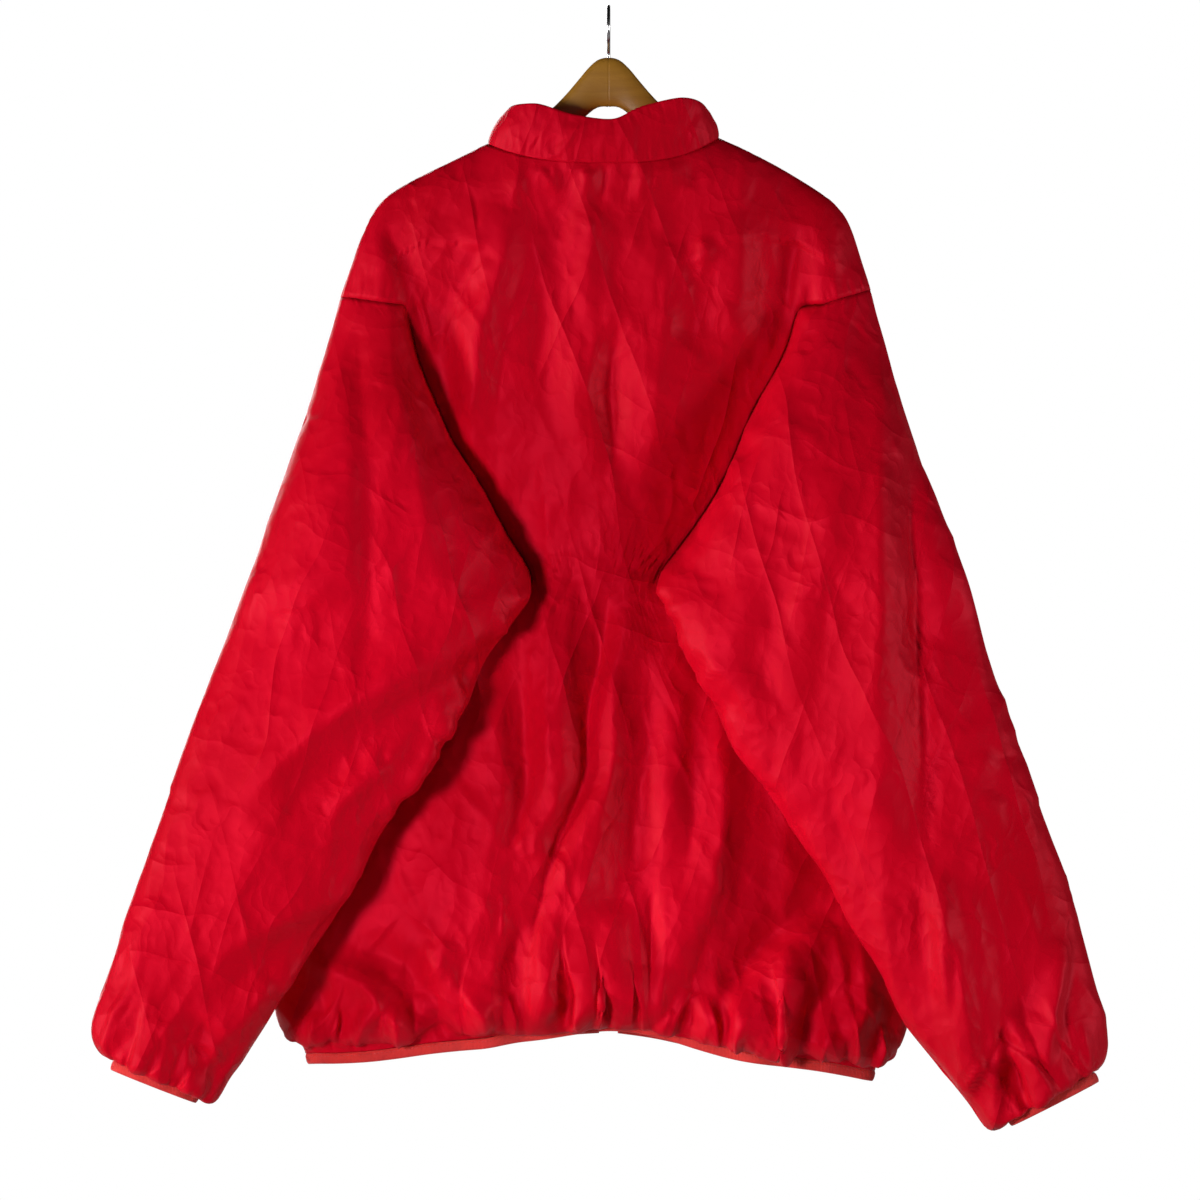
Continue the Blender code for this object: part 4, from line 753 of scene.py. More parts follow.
for folds, rows in ((BACK_FOLDS, BACK_ROWS), (SLEEVE_FOLDS, SLEEVE_ROWS), (HIDDEN_FOLDS, HIDDEN_ROWS)):
    for row in rows:
        folds += row_of_creases(*row)
print("with their rows of creases:", len(BACK_FOLDS), len(SLEEVE_FOLDS), len(HIDDEN_FOLDS))

# %% [markdown]
# A fold lifts only the side of the cloth that it was drawn on. How strongly a point takes part
# depends on how far its surface looks to the back, for the folds that show, or to the front.

# %% How far all long folds lift a skin
BACK_STRENGTH = 1.9  # the drawn heights were first kept low, and these two raise them all
SLEEVE_STRENGTH = 1.4


def to_metres(folds):
    return [([(across(x), up(y)) for x, y in line], wide * MM, high * MM, sharp, lean)
            for line, wide, high, sharp, lean in folds]


SHOWN = {"back": to_metres(BACK_FOLDS), "sleeve_left": to_metres(SLEEVE_FOLDS),
         "sleeve_right": to_metres(SLEEVE_FOLDS)}
HIDDEN = to_metres(HIDDEN_FOLDS)


def long_folds(node, places, out):
    flat = places[:, [0, 2]]
    faces_back = np.clip(0.1 - 2.0 * out[:, 1], 0, 1)
    faces_front = np.clip(0.1 + 2.0 * out[:, 1], 0, 1)
    lift = np.zeros(len(places))
    for fold in SHOWN.get(node, ()):
        strength = BACK_STRENGTH if node == "back" else SLEEVE_STRENGTH
        lift += strength * along_line(flat, *fold) * faces_back
    if node not in ("back", "collar"):
        for fold in HIDDEN:
            lift += along_line(flat, *fold) * faces_front
    return lift


# %% [markdown]
# ## Seams
#
# Sewn cloth sinks towards its seam and puckers along it, because the thread pulls it a little
# shorter. Elastic pulls it far shorter, so the hem and the cuffs are gathered. The helper finds, for
# each point of a skin, how far it is from the skin's edge and how far along the edge it is, and the
# puckers follow these two numbers.

# %% Edges of a skin
def edge_loops(mesh):
    """The open edges of a skin, as loops of points in order."""
    uses = {}
    for face in mesh.polygons:
        for pair in face.edge_keys:
            uses[pair] = uses.get(pair, 0) + 1
    beside = {}
    for (a, b), count in uses.items():
        if count == 1:
            beside.setdefault(a, []).append(b)
            beside.setdefault(b, []).append(a)
    loops = []
    left = set(beside)
    while left:
        start = min(left)
        loop = [start]
        left.discard(start)
        while True:
            following = [v for v in beside[loop[-1]] if v in left]
            if not following:
                break
            loop.append(following[0])
            left.discard(following[0])
        loops.append(loop)
    return loops


def from_edge(mesh, places):
    """For each point, its distance from the nearest edge, and how far along the edge that is."""
    loops = edge_loops(mesh)
    total = sum(len(loop) for loop in loops)
    tree = KDTree(total)
    run = {}
    for number, loop in enumerate(loops):
        walk = 0.0
        last = places[loop[0]]
        for v in loop:
            walk += float(np.linalg.norm(places[v] - last))
            last = places[v]
            run[v] = walk + 7.0 * number
            tree.insert(places[v], v)
    tree.balance()
    far = np.empty(len(places))
    along = np.empty(len(places))
    nearest = np.empty(len(places), int)
    for i, place in enumerate(places):
        _, v, gap = tree.find(place)
        far[i], along[i], nearest[i] = gap, run[v], v
    return far, along, nearest


# %% [markdown]
# Gathers are never alike, so they come from a few waves of different lengths, added up. Above the
# elastic the cloth bulges in large rounds and, closer to it, in small ones, with crisp valleys
# between them, which is what the absolute value of a wave gives.

# %% Gathers above the elastic
def uneven_wave(along, pitch, seed):
    """A wave with an uneven pitch and an uneven height, for gathers."""
    chance = np.random.default_rng(seed)
    made = np.zeros(len(along))
    for share, size in ((1.0, 1.0), (0.61, 0.7), (1.63, 0.6), (2.4, 0.35), (0.37, 0.5)):
        turn = chance.uniform(0, math.tau)
        bend = 0.9 * np.sin(along / (pitch * 3.1) + chance.uniform(0, math.tau))
        made += size * np.sin(along / pitch * math.tau * share + turn + bend)
    return made / 1.9


ELASTIC_LEVEL = -0.885  # the seams of the hem and the cuffs lie below this height
LARGE_GATHER, SMALL_GATHER = 7.5 * MM, 3.2 * MM
LARGE_PITCH, SMALL_PITCH = 0.085, 0.036


def at_elastic(edge):
    return np.clip((ELASTIC_LEVEL - edge[:, 2]) / 0.02, 0, 1)


def gathers(far, along, edge, seed):
    """Round bulges with crisp valleys between them, above the elastic of the hem and the cuffs."""
    large = np.abs(uneven_wave(along, LARGE_PITCH, seed)) * np.exp(-(((far - 0.026) / 0.026) ** 2))
    small = np.abs(uneven_wave(along, SMALL_PITCH, seed + 1)) * np.exp(-(((far - 0.008) / 0.012) ** 2))
    height = LARGE_GATHER * large + SMALL_GATHER * small - 1.5 * MM
    return at_elastic(edge) * np.clip(far / 0.006, 0, 1) * height


# %% [markdown]
# ## Small creases
#
# Between the large folds, thin nylon is full of short creases that point in most directions, but
# more of them along the pull of the cloth. They are scattered with a fixed seed, so each run gives
# the same cloth.

# %% Scattered creases
def small_creases(places, out, count, seed, lean, long, wide, high):
    """Short sharp ridges on one side of a piece, most of them near the angle lean."""
    chance = np.random.default_rng(seed)
    flat = places[:, [0, 2]]
    low, top = flat.min(axis=0), flat.max(axis=0)
    lift = np.zeros(len(places))
    for _ in range(count):
        middle = chance.uniform(low, top)
        facing = 1.0 if chance.random() < 0.5 else -1.0
        turn = lean(middle) + chance.normal(0, 0.45)
        half = chance.uniform(*long) / 2
        run = np.array([math.cos(turn), math.sin(turn)])
        bow = chance.uniform(-0.25, 0.25) * half
        away = flat - middle
        t = away @ run
        near = np.abs(t) < half
        near &= out[:, 1] * facing > 0
        if not near.any():
            continue
        s = t[near] / half
        d = away[near] @ np.array([-run[1], run[0]]) - bow * (1 - s * s)
        width = chance.uniform(*wide)
        tall = chance.uniform(*high) * chance.choice([1, 1, -0.8])
        lift[near] += tall * (1 - s * s) ** 1.2 * np.exp(-np.abs(d / width) ** 1.25)
    return lift


# %% [markdown]
# Between its creases nylon is almost flat, so its surface looks cut into long facets. Their ridges
# are absolute sine waves, bent by a slow noise, and another slow noise lets them come and go.

# %% Facets
FACETS = (  # distance between ridges, their height, and how far their angles lie off the hang
    (0.085, 4.2 * MM, (0.0, 0.22, -0.25)),
    (0.048, 2.2 * MM, (0.1, 0.5, -0.45)),
    (0.026, 1.0 * MM, (0.0, 0.8, -0.7)),
)


def slow_noise(places, size, seed):
    """A smooth random value for each place, from a few sine waves about as long as size."""
    chance = np.random.default_rng(seed)
    made = np.zeros(len(places))
    for _ in range(7):
        way = chance.normal(size=3)
        way /= np.linalg.norm(way)
        pace = math.tau / size * chance.uniform(0.6, 1.5)
        made += np.sin(places @ way * pace + chance.uniform(0, math.tau))
    return made / 2.6


def facets(places, lean, seed):
    """Crisp ridges with hollow flanks between them, mostly along the hang, coming and going."""
    chance = np.random.default_rng(seed)
    lift = np.zeros(len(places))
    for size, high, offs in FACETS:
        for k, off in enumerate(offs):
            turn = lean + off + chance.normal(0, 0.08)
            way = np.array([math.sin(turn), 0.35 * chance.uniform(-1, 1), -math.cos(turn)])
            bend = 0.35 * slow_noise(places, size * 4.5, seed * 31 + k * 7 + int(size * 4000))
            wave = np.abs(np.sin(math.pi * (places @ way / size + bend)))
            there = slow_noise(places, size * 3.5, seed * 17 + k * 5 + int(size * 9000))
            lift += high * (0.6 - wave) * np.clip(there * 1.2 - 0.15, 0, 1)
    return lift


# %% [markdown]
# Cloth is pulled another way in each piece: straight down in the back and the fronts, and along the
# arm in the sleeves. Creases and facets follow that pull. The back's turn outwards above the chest.

# %% Ways of the pull
LEANS = {
    "back": lambda p: math.radians(90) if p[1] < -0.3 else math.radians(70 if p[0] > 0 else 110),
    "front_left": lambda p: math.radians(88),
    "front_right": lambda p: math.radians(92),
    "sleeve_left": lambda p: math.radians(62),
    "sleeve_right": lambda p: math.radians(118),
    "collar": lambda p: math.radians(60),
}
COUNTS = {"back": 220, "front_left": 110, "front_right": 110, "sleeve_left": 200, "sleeve_right": 200,
          "collar": 50}
FACET_STRENGTH = {"back": 0.8, "front_left": 0.6, "front_right": 0.6, "sleeve_left": 0.32,
                  "sleeve_right": 0.32, "collar": 0.35}
print(sum(COUNTS.values()), "small creases in all")

# %% [markdown]
# ## Let the cloth settle
#
# Real cloth is cut a little larger than the form that it hangs over, and the spare length buckles
# into folds. Blender's Cloth does the same: the skin is made a few percent larger than it is, its
# sewn edges are held, soft springs keep the rest near its form, and a few frames let it buckle.

# %% Cut a skin larger
WAYS_ACROSS = {"sleeve_left": (0.84, 0, -0.54), "sleeve_right": (0.84, 0, 0.54)}
SLEEVE_LINES = {  # each sleeve's middle line, from its top to its cuff, as places across and up
    "sleeve_left": ((-0.19, -0.30), (-0.39, -0.92)),
    "sleeve_right": ((0.19, -0.30), (0.38, -0.93)),
}
GROWN, GATHERED = 0.04, 0.10  # how much wider a skin is cut: mostly, and where elastic gathers it
SLEEVE_GATHERS, HEM_GATHERS = 0.78, -0.78  # gathers begin here: along a sleeve, and by height


def cut_larger(name, places):
    """The skin before it was sewn: wider across its run, most of all where elastic gathers it."""
    way = np.array(WAYS_ACROSS.get(name, (1.0, 0, 0)))
    if name in SLEEVE_LINES:
        (x1, z1), (x2, z2) = SLEEVE_LINES[name]
        down = np.clip((places[:, 2] - z1) / (z2 - z1), 0, 1)
        middle = np.stack([x1 + (x2 - x1) * down, 0 * down, z1 + (z2 - z1) * down], axis=1)
        gather = np.clip((down - SLEEVE_GATHERS) / 0.2, 0, 1)
    else:
        middle = np.zeros_like(places)
        gather = np.clip((HEM_GATHERS - places[:, 2]) / 0.12, 0, 1)
        if name == "collar":
            gather = 0 * gather
    grow = GROWN + (GATHERED - GROWN) * gather ** 2
    return places + (grow * ((places - middle) @ way))[:, None] * way, gather


# %% [markdown]
# The skin is held by a vertex group: firmly at its sewn rim, and very softly elsewhere, softest where
# it is gathered. A light pressure stands for the wadding. The movement is capped, so the cloth stays
# on its solid, and it fades out at the dropped shoulder seams, where two pieces have to meet.

# %% Simulate one skin
FRAMES = 16
MOST_MOVED = 10 * MM
SOFT_HOLD, SOFTER_GATHERED = 0.06, 0.045
DROPPED_SEAM = -0.262  # the height of the seams between the shoulders and the sleeves


def settle(name, mesh):
    start = points(mesh)
    holder = bpy.data.objects.new(name + "_settling", mesh)
    scene.collection.objects.link(holder)
    held = holder.vertex_groups.new(name="held")
    rim = sorted({v for loop in edge_loops(mesh) for v in loop})
    larger, gather = cut_larger(name, start)
    for i, loose in enumerate(gather):
        held.add([i], SOFT_HOLD - SOFTER_GATHERED * float(loose), "REPLACE")
    held.add(rim, 1.0, "REPLACE")
    holder.shape_key_add(name="hung")
    cut = holder.shape_key_add(name="cut")
    cut.data.foreach_set("co", larger.astype(np.float32).ravel())
    cloth = holder.modifiers.new("cloth", "CLOTH")
    feel = cloth.settings
    feel.quality = 4
    feel.mass = 0.15
    feel.tension_stiffness = feel.compression_stiffness = 25
    feel.shear_stiffness = 10
    feel.bending_stiffness = 0.2
    feel.vertex_group_mass = "held"
    feel.pin_stiffness = 1.0
    feel.rest_shape_key = cut
    feel.shrink_min = -0.02
    feel.use_pressure = True
    feel.uniform_pressure_force = 0.12
    feel.effector_weights.gravity = 0.1
    cloth.collision_settings.use_collision = False
    cloth.point_cache.frame_end = FRAMES
    for number in range(1, FRAMES + 1):
        scene.frame_set(number)
    moved = bpy.data.meshes.new_from_object(holder.evaluated_get(bpy.context.evaluated_depsgraph_get()))
    step = points(moved) - start
    bpy.data.objects.remove(holder)
    scene.frame_set(1)
    size = np.linalg.norm(step, axis=1)
    print(name, "moved", round(float(size.mean()) * 1000, 2), "mm on average,",
          round(float(size.max()) * 1000, 1), "at most")
    far, _, nearest = from_edge(mesh, start)
    edge = start[nearest]
    seam = np.exp(-(((edge[:, 2] - DROPPED_SEAM) / 0.03) ** 2)) * (np.abs(edge[:, 0]) > 0.18)
    calm = 1 - seam * np.exp(-((far / 0.035) ** 2))
    return start + step * (calm * MOST_MOVED * np.tanh(size / MOST_MOVED) / np.maximum(size, 1e-9))[:, None]


# %% [markdown]
# ## Close the cloth into a thin shell
#
# The finished outer skin is fine, and the lining side, which is hardly seen, is coarser. A narrow
# rim joins them, so that each piece is one closed body as thick as the padded cloth.

# %% Close a shell
def closed_shell(name, fine, coarse, finish, thick):
    outer = points(fine)
    count = len(coarse.vertices)
    move_to(coarse, outer[:count])
    inner = outer[:count] - normals(coarse) * thick
    total = len(outer)
    faces = [tuple(p.vertices) for p in fine.polygons]
    faces += [tuple(total + v for v in reversed(p.vertices)) for p in coarse.polygons]
    beside = {}
    for loop in edge_loops(fine):
        for a, b in zip(loop, loop[1:] + loop[:1]):
            beside.setdefault(a, []).append(b)
            beside.setdefault(b, []).append(a)
    directed = {}
    for face in coarse.polygons:
        corners = list(face.vertices)
        for a, b in zip(corners, corners[1:] + corners[:1]):
            directed[(a, b)] = True
    rim = [(a, b) for a, b in directed if (b, a) not in directed]
    for a, b in rim:
        for following in beside[a]:
            chain = [a, following]
            while chain[-1] >= count:
                chain.append(next(v for v in beside[chain[-1]] if v != chain[-2]))
            if chain[-1] == b:
                break
        faces.append(tuple(reversed(chain)) + (total + a, total + b))
    mesh = bpy.data.meshes.new(name)
    mesh.from_pydata(np.concatenate([outer, inner]).tolist(), [], faces)
    mesh.materials.append(finish)
    mesh.shade_smooth()
    made = bpy.data.objects.new(name, mesh)
    scene.collection.objects.link(made)
    return made


# %% [markdown]
# ## Shifts that pieces share
#
# Two sewn edges stay together only if both move alike. So the slow drift of the seams depends on a
# point's place alone, never on its piece. The same helper lifts the outer ends of the dropped
# shoulder seams and makes the cloth stand out there, so that shoulder and sleeve run into each other.

# %% A drift for every piece
SHOULDER_SEAM = -0.258  # the height of the dropped seams in the frame
LIFTED_RIGHT, LIFTED_LEFT = 10 * MM, 4 * MM
STANDS_OUT = 9 * MM


def wander(places):
    """A slow sideways drift, the same for every piece, so that sewn edges stay together."""
    x, y, z = places.T
    shown = np.clip((0.01 - y) / 0.03, 0, 1) * np.clip((-0.17 - z) / 0.08, 0, 1)
    shown = shown * np.clip((0.20 + 0.16 * (-0.3 - z) - np.abs(x)) / 0.05, 0, 1)
    side = 0.0026 * np.sin(z * 27 + x * 9 + 1.1) + 0.0013 * np.sin(z * 66 - x * 31 + 0.4)
    rise = 0.0016 * np.sin(x * 41 + z * 13)
    outer = np.clip((np.abs(x) - 0.185) / 0.04, 0, 1)
    lifted = np.where(x > 0, LIFTED_RIGHT, LIFTED_LEFT) * outer
    rise = rise * shown + lifted * np.exp(-(((z - SHOULDER_SEAM) / 0.04) ** 2))
    bulge = np.clip((np.abs(x) - 0.155) / 0.03, 0, 1) * np.clip(-y / 0.02, 0, 1)
    ahead = -STANDS_OUT * bulge * np.exp(-(((z - SHOULDER_SEAM) / 0.045) ** 2))
    return places + np.stack([side * shown, ahead, rise], axis=1)


# %% [markdown]
# Two more shifts shape one place each. The back lies in the shade behind the sleeves' inner edges,
# so its cloth goes in at those seams. And the full end of each sleeve sags over its cuff, most of
# all on the side towards the body, as the picture shows on the left.

# %% Valleys beside the sleeves, and sagging sleeve ends
VALLEY_TOP, VALLEY_LOW = -0.25, -0.512  # heights between which the sleeves hang over the back
VALLEY_WIDE = {"back": 50 * MM, "sleeve_left": 5 * MM, "sleeve_right": 5 * MM}
SAG_DOWN, SAG_OUT = 9 * MM, 4.5 * MM


def sink_valleys(node, places, far, edge):
    """The cloth goes in at the seams between the back and the sleeves' inner edges."""
    if node not in VALLEY_WIDE:
        return places
    x, y, z = edge.T
    inside = np.clip((0.196 - np.abs(x)) / 0.024, 0, 1)
    valley = inside * np.clip((z - VALLEY_LOW) / 0.03, 0, 1) * (z < VALLEY_TOP) * (y < 0)
    places = places.copy()
    deep = 10 * MM * (1 + np.clip((-0.28 - z) / 0.16, 0, 1))
    places[:, 1] += deep * valley * np.exp(-((far / VALLEY_WIDE[node]) ** 1.5))
    return places


def hang_over(node, places, out, far, edge):
    """The full end of a sleeve sags over its cuff, most of all on the side towards the body."""
    (x1, z1), (x2, z2) = SLEEVE_LINES[node]
    run = np.array([x2 - x1, 0, z2 - z1])
    run /= np.linalg.norm(run)
    inner = np.clip(0.5 + (abs(x2) - np.abs(edge[:, 0]) + 0.02) / 0.05, 0.15, 1)
    sag = at_elastic(edge) * inner * np.exp(-(((far - 0.013) / 0.012) ** 2)) * np.clip(far / 0.004, 0, 1)
    return places + sag[:, None] * (SAG_DOWN * run + SAG_OUT * out)


# %% [markdown]
# ## The relief of one skin
#
# All reliefs are lifts along the surface's own normal, so they add up: folds, facets, small creases,
# the line that a seam presses in, its puckers, and the gathers. Most fade out towards the edge,
# because a seam holds the cloth still.

# %% Add up the relief
SEAM_PRESSED = 0.4 * MM
PUCKER, DROPPED_PUCKER = 0.4 * MM, 0.6 * MM
PUCKER_PITCH = 9 * MM
SMALL_CREASES = {"long": (25 * MM, 130 * MM), "wide": (2.0 * MM, 5.5 * MM), "high": (0.6 * MM, 2.2 * MM)}


def relief(node, number, places, out, edges):
    """How far each point of a skin is lifted off its form."""
    far, along, edge = edges
    dropped = np.exp(-(((edge[:, 2] - DROPPED_SEAM) / 0.02) ** 2))
    dropped = dropped * np.clip((np.abs(edge[:, 0]) - 0.17) / 0.02, 0, 1)
    lift = long_folds(node, places, out) * np.clip(far / 0.010, 0, 1)
    facet = facets(places, LEANS[node]((0.0, -0.6)), 5 + number)
    lift += FACET_STRENGTH[node] * facet * np.clip(far / 0.015, 0, 1)
    crease = small_creases(places, out, COUNTS[node], 11 + number, LEANS[node], **SMALL_CREASES)
    lift += crease * np.clip(far / 0.012, 0, 1)
    lift *= 1 - 0.9 * dropped * np.exp(-((far / 0.030) ** 2))
    lift -= SEAM_PRESSED * np.exp(-((far / 0.0035) ** 1.5)) * (1 - dropped)
    beside_sleeve = (np.abs(edge[:, 0]) < 0.19) & (edge[:, 2] < DROPPED_SEAM) & (edge[:, 2] > -0.51)
    beside_sleeve &= edge[:, 1] < 0
    pucker = (PUCKER + DROPPED_PUCKER * dropped) * np.exp(-far / 0.010) * np.clip(far / 0.003, 0, 1)
    lift += pucker * ~beside_sleeve * uneven_wave(along, PUCKER_PITCH, 40 + number)
    if node != "collar":
        lift += gathers(far, along, edge, 60 + number)
    return lift


# %% [markdown]
# ## The cloth pieces
#
# Every piece goes the same way: subdivide its skin, let it settle, subdivide it once more, lift and
# shift its points, and close it. It then rides on the garment and replaces its solid. The collar's
# lower edge is drawn down a little, over the seam.

# %% Make the six cloth pieces
SETTLED_LEVEL, FINE_LEVEL = 2, 3
CLOTH_THICK = 3.6 * MM


def shut(name, fine, coarse, finish, thick, node):
    piece = closed_shell(name, fine, coarse, finish, thick)
    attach(piece, "garment")
    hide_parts(node)
    print(piece.name, sum(len(face.vertices) - 2 for face in piece.data.polygons), "triangles")
    return piece


def dress(node, number):
    middle = finer(skins[node], node + "_settled", SETTLED_LEVEL)
    move_to(middle, settle(node, middle))
    fine = finer(middle, node + "_fine", FINE_LEVEL - SETTLED_LEVEL)
    places, out = points(fine), normals(fine)
    far, along, nearest = from_edge(fine, places)
    edge = places[nearest]
    lift = relief(node, number, places, out, (far, along, edge))
    places = sink_valleys(node, places + out * lift[:, None], far, edge)
    if node in SLEEVE_LINES:
        places = hang_over(node, places, out, far, edge)
    if node == "collar":
        lower = places[nearest][:, 2] < -0.105
        places[:, 2] -= 1.2 * MM * np.exp(-far / 0.003) * lower
    move_to(fine, wander(places))
    lining = finer(skins[node], node + "_lining", SETTLED_LEVEL)
    return shut(node + "_cloth", fine, lining, SHELL, CLOTH_THICK, node)


cloth_pieces = {node: dress(node, number) for number, node in enumerate(CLOTH)}

# %% [markdown]
# ## Elastic bindings
#
# The hem and the cuffs end in a narrow folded band of ribbed elastic. Such a band is a flat ring in
# the frame. Its own directions come from the spread of its points: the shortest is its axis, and the
# two others give an ellipse, whose outward side at each face tells the outer faces from the rest.

# %% The outer face of a ring
LEAST_OUTWARD, MOST_ALONG = 0.25, 0.75  # what a face's normal has to have of the two directions


def ring_skin(node):
    """The outer face of a narrow ring: faces that look away from the ring's own middle."""
    wall = bmesh.new()
    wall.from_mesh(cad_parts[node].data)
    bmesh.ops.remove_doubles(wall, verts=wall.verts, dist=2e-6)
    wall.normal_update()
    places = np.array([v.co for v in wall.verts])
    middle = places.mean(axis=0)
    _, ways = np.linalg.eigh(np.cov((places - middle).T))
    axis, narrow, wide = ways.T
    halves = [np.abs((places - middle) @ way).max() for way in (narrow, wide)]
    inner = []
    for face in wall.faces:
        away = np.array(face.calc_center_median()) - middle
        outward = sum((away @ way) / half ** 2 * way for way, half in zip((narrow, wide), halves))
        outward /= np.linalg.norm(outward)
        normal = np.array(face.normal)
        if normal @ outward < LEAST_OUTWARD or abs(normal @ axis) > MOST_ALONG:
            inner.append(face)
    bmesh.ops.delete(wall, geom=inner, context="FACES")
    bmesh.ops.join_triangles(wall, faces=wall.faces[:], angle_face_threshold=math.pi,
                             angle_shape_threshold=math.pi, topology_influence=1.0)
    mesh = bpy.data.meshes.new(node + "_skin")
    wall.to_mesh(mesh)
    wall.free()
    print(node, len(mesh.vertices), "points,", len(mesh.polygons), "faces,", len(edge_loops(mesh)), "edges")
    return mesh


# %% [markdown]
# A band is narrow, so its ribs are made in the mesh and not left to the material. They run straight
# across it, because they follow the distance along its edge.

# %% Knit the three bands
BANDS = ("hem_binding", "cuff_binding_left", "cuff_binding_right")
BAND_ROUND = 1.0 * MM
RIB_HEIGHT, RIB_PITCH = 0.16 * MM, 2.1 * MM
BAND_THICK = 2.2 * MM
band_skins = {}
for node in BANDS:
    skin = ring_skin(node)
    fine = finer(skin, node + "_fine", 3)
    places, out = points(fine), normals(fine)
    far, along, nearest = from_edge(fine, places)
    round_off = BAND_ROUND * np.sqrt(np.clip(far / 0.0035, 0, 1))
    ribs = RIB_HEIGHT * np.sin(along / RIB_PITCH * math.tau) * np.clip(far / 0.0015, 0, 1)
    move_to(fine, wander(places + out * (round_off + ribs - 0.8 * MM)[:, None]))
    band_skins[node] = fine
    lining = finer(skin, node + "_lining", 1)
    cloth_pieces[node] = shut(node + "_knit", fine, lining, BINDING, BAND_THICK, node)

# %% [markdown]
# ## Rows of stitches
#
# A lockstitch shows as a row of short threads, each sinking into the cloth at both ends. One small
# spindle-shaped thread is copied along a path on the surface, and all copies are joined into one
# mesh. The rows run along the elastic bindings and beside the zip.

# %% Small tools for made pieces
def piece_of(name, verts, faces, finish, replaces=None, smooth=True):
    """A mesh from points and faces, riding on the garment."""
    mesh = bpy.data.meshes.new(name)
    mesh.from_pydata(verts, [], faces)
    mesh.materials.append(finish)
    if smooth:
        mesh.shade_smooth()
    made = bpy.data.objects.new(name, mesh)
    scene.collection.objects.link(made)
    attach(made, "garment")
    if replaces:
        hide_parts(replaces)
    print(name, len(faces), "faces")
    return made


def tube(rings, sides):
    """Faces round a row of rings, with a cap at both ends."""
    faces = []
    for r in range(rings - 1):
        for k in range(sides):
            a, b = r * sides + k, r * sides + (k + 1) % sides
            faces.append((a, b, b + sides, a + sides))
    last = (rings - 1) * sides
    return faces + [tuple(reversed(range(sides))), tuple(range(last, last + sides))]


def surface_of(piece):
    graph = bpy.context.evaluated_depsgraph_get()
    return BVHTree.FromObject(piece, graph)


def spaced(path, step):
    """Points at an even distance along a path."""
    path = np.array(path)
    spans = np.linalg.norm(np.diff(path, axis=0), axis=1)
    walk = np.concatenate([[0], np.cumsum(spans)])
    at = np.arange(0, walk[-1], step)
    return np.stack([np.interp(at, walk, path[:, k]) for k in range(3)], axis=1)


# %% [markdown]
# One thread is a six-sided spindle of five rings. Its ends dip into the cloth, its middle stands
# proud, and the copies follow the nearest of the surfaces that they are sewn to.

# %% Sew a row
THREAD_RINGS = (  # place along the thread, thickness, and height in millimetres
    (0.0, 0.45, -0.22),
    (0.12, 0.9, 0.0),
    (0.5, 1.0, 0.08),
    (0.88, 0.9, 0.0),
    (1.0, 0.45, -0.22),
)
THREAD_SIDES = 6
STITCH_PITCH = 3.4 * MM
THREAD_HALF = 0.30 * MM
STITCH_LONG = 1.45  # a thread's length beside the step, so its ends can dip


def sew(name, paths, surfaces):
    verts, faces = [], []
    stitches = 0
    for path in paths:
        line = spaced(path, STITCH_PITCH / 2)
        for start, end in zip(line[0::2], line[1::2]):
            middle = Vector((start + end) / 2)
            hits = [surface.find_nearest(middle) for surface in surfaces]
            place, out, _, _ = min((hit for hit in hits if hit[0] is not None), key=lambda hit: hit[3])
            run = Vector((end - start) * STITCH_LONG)
            side = run.cross(out).normalized()
            first = len(verts)
            for t, size, rise in THREAD_RINGS:
                centre = place + run * (t - 0.5) + out * (rise * MM)
                for k in range(THREAD_SIDES):
                    turn = k / THREAD_SIDES * math.tau
                    round_it = side * math.cos(turn) + out * math.sin(turn)
                    verts.append(centre + round_it * THREAD_HALF * size)
            spindle = tube(len(THREAD_RINGS), THREAD_SIDES)
            faces += [tuple(first + v for v in face) for face in spindle]
            stitches += 1
    print(name, stitches, "stitches")
    return piece_of(name, verts, faces, THREAD)


# %% [markdown]
# The rows run 2.6 mm below the upper edge of each band, and 6 mm from the fronts' edges beside the
# zip, down both fronts and both ends of the collar. These paths are found by looking from outside.

# %% Rows along the bands and the zip
BELOW_EDGE = 2.6 * MM
BESIDE_ZIP = 14.2 * MM
FEWEST = 20  # a shorter run of points isn't an edge


def upper_edges(mesh, below):
    """Paths a little below the upper edge of a band."""
    places = points(mesh)
    tree = KDTree(len(places))
    for i, place in enumerate(places):
        tree.insert(place, i)
    tree.balance()
    paths = []
    for loop in edge_loops(mesh):
        path = []
        for v in loop + loop[:1]:
            near = np.array([np.array(co) for co, _, _ in tree.find_range(places[v], 0.005)])
            inward = near.mean(axis=0) - places[v]
            inward /= max(np.linalg.norm(inward), 1e-9)
            if inward[2] < -0.5:
                path.append(places[v] + inward * below)
            elif len(path) > FEWEST:
                paths.append(path)
                path = []
        if len(path) > FEWEST:
            paths.append(path)
    return paths


FRONT_ROW = (-0.862, -0.196)  # heights between which a row is sewn
COLLAR_ROW = (-0.182, -0.146)


def beside_zip(piece, side, low, top):
    """A path beside the zip, down one front, found from the outside."""
    surface = surface_of(piece)
    path = []
    for z in np.arange(top, low, -0.004):
        hit = surface.ray_cast(Vector((side * BESIDE_ZIP, 0.12, z)), Vector((0, -1, 0)))
        if hit[0] is not None and hit[0].y > 0.02:
            path.append(np.array(hit[0]))
    return path


threads = {}
for node, fine in band_skins.items():
    threads[node] = sew(node + "_stitches", upper_edges(fine, BELOW_EDGE),
                        [surface_of(cloth_pieces[node])])
for side, name in ((-1, "left"), (1, "right")):
    front, collar = cloth_pieces["front_" + name], cloth_pieces["collar"]
    paths = [beside_zip(front, side, *FRONT_ROW), beside_zip(collar, side, *COLLAR_ROW)]
    threads["front_" + name] = sew("zip_stitches_" + name, [path for path in paths if len(path) > 3],
                                   [surface_of(front), surface_of(collar)])

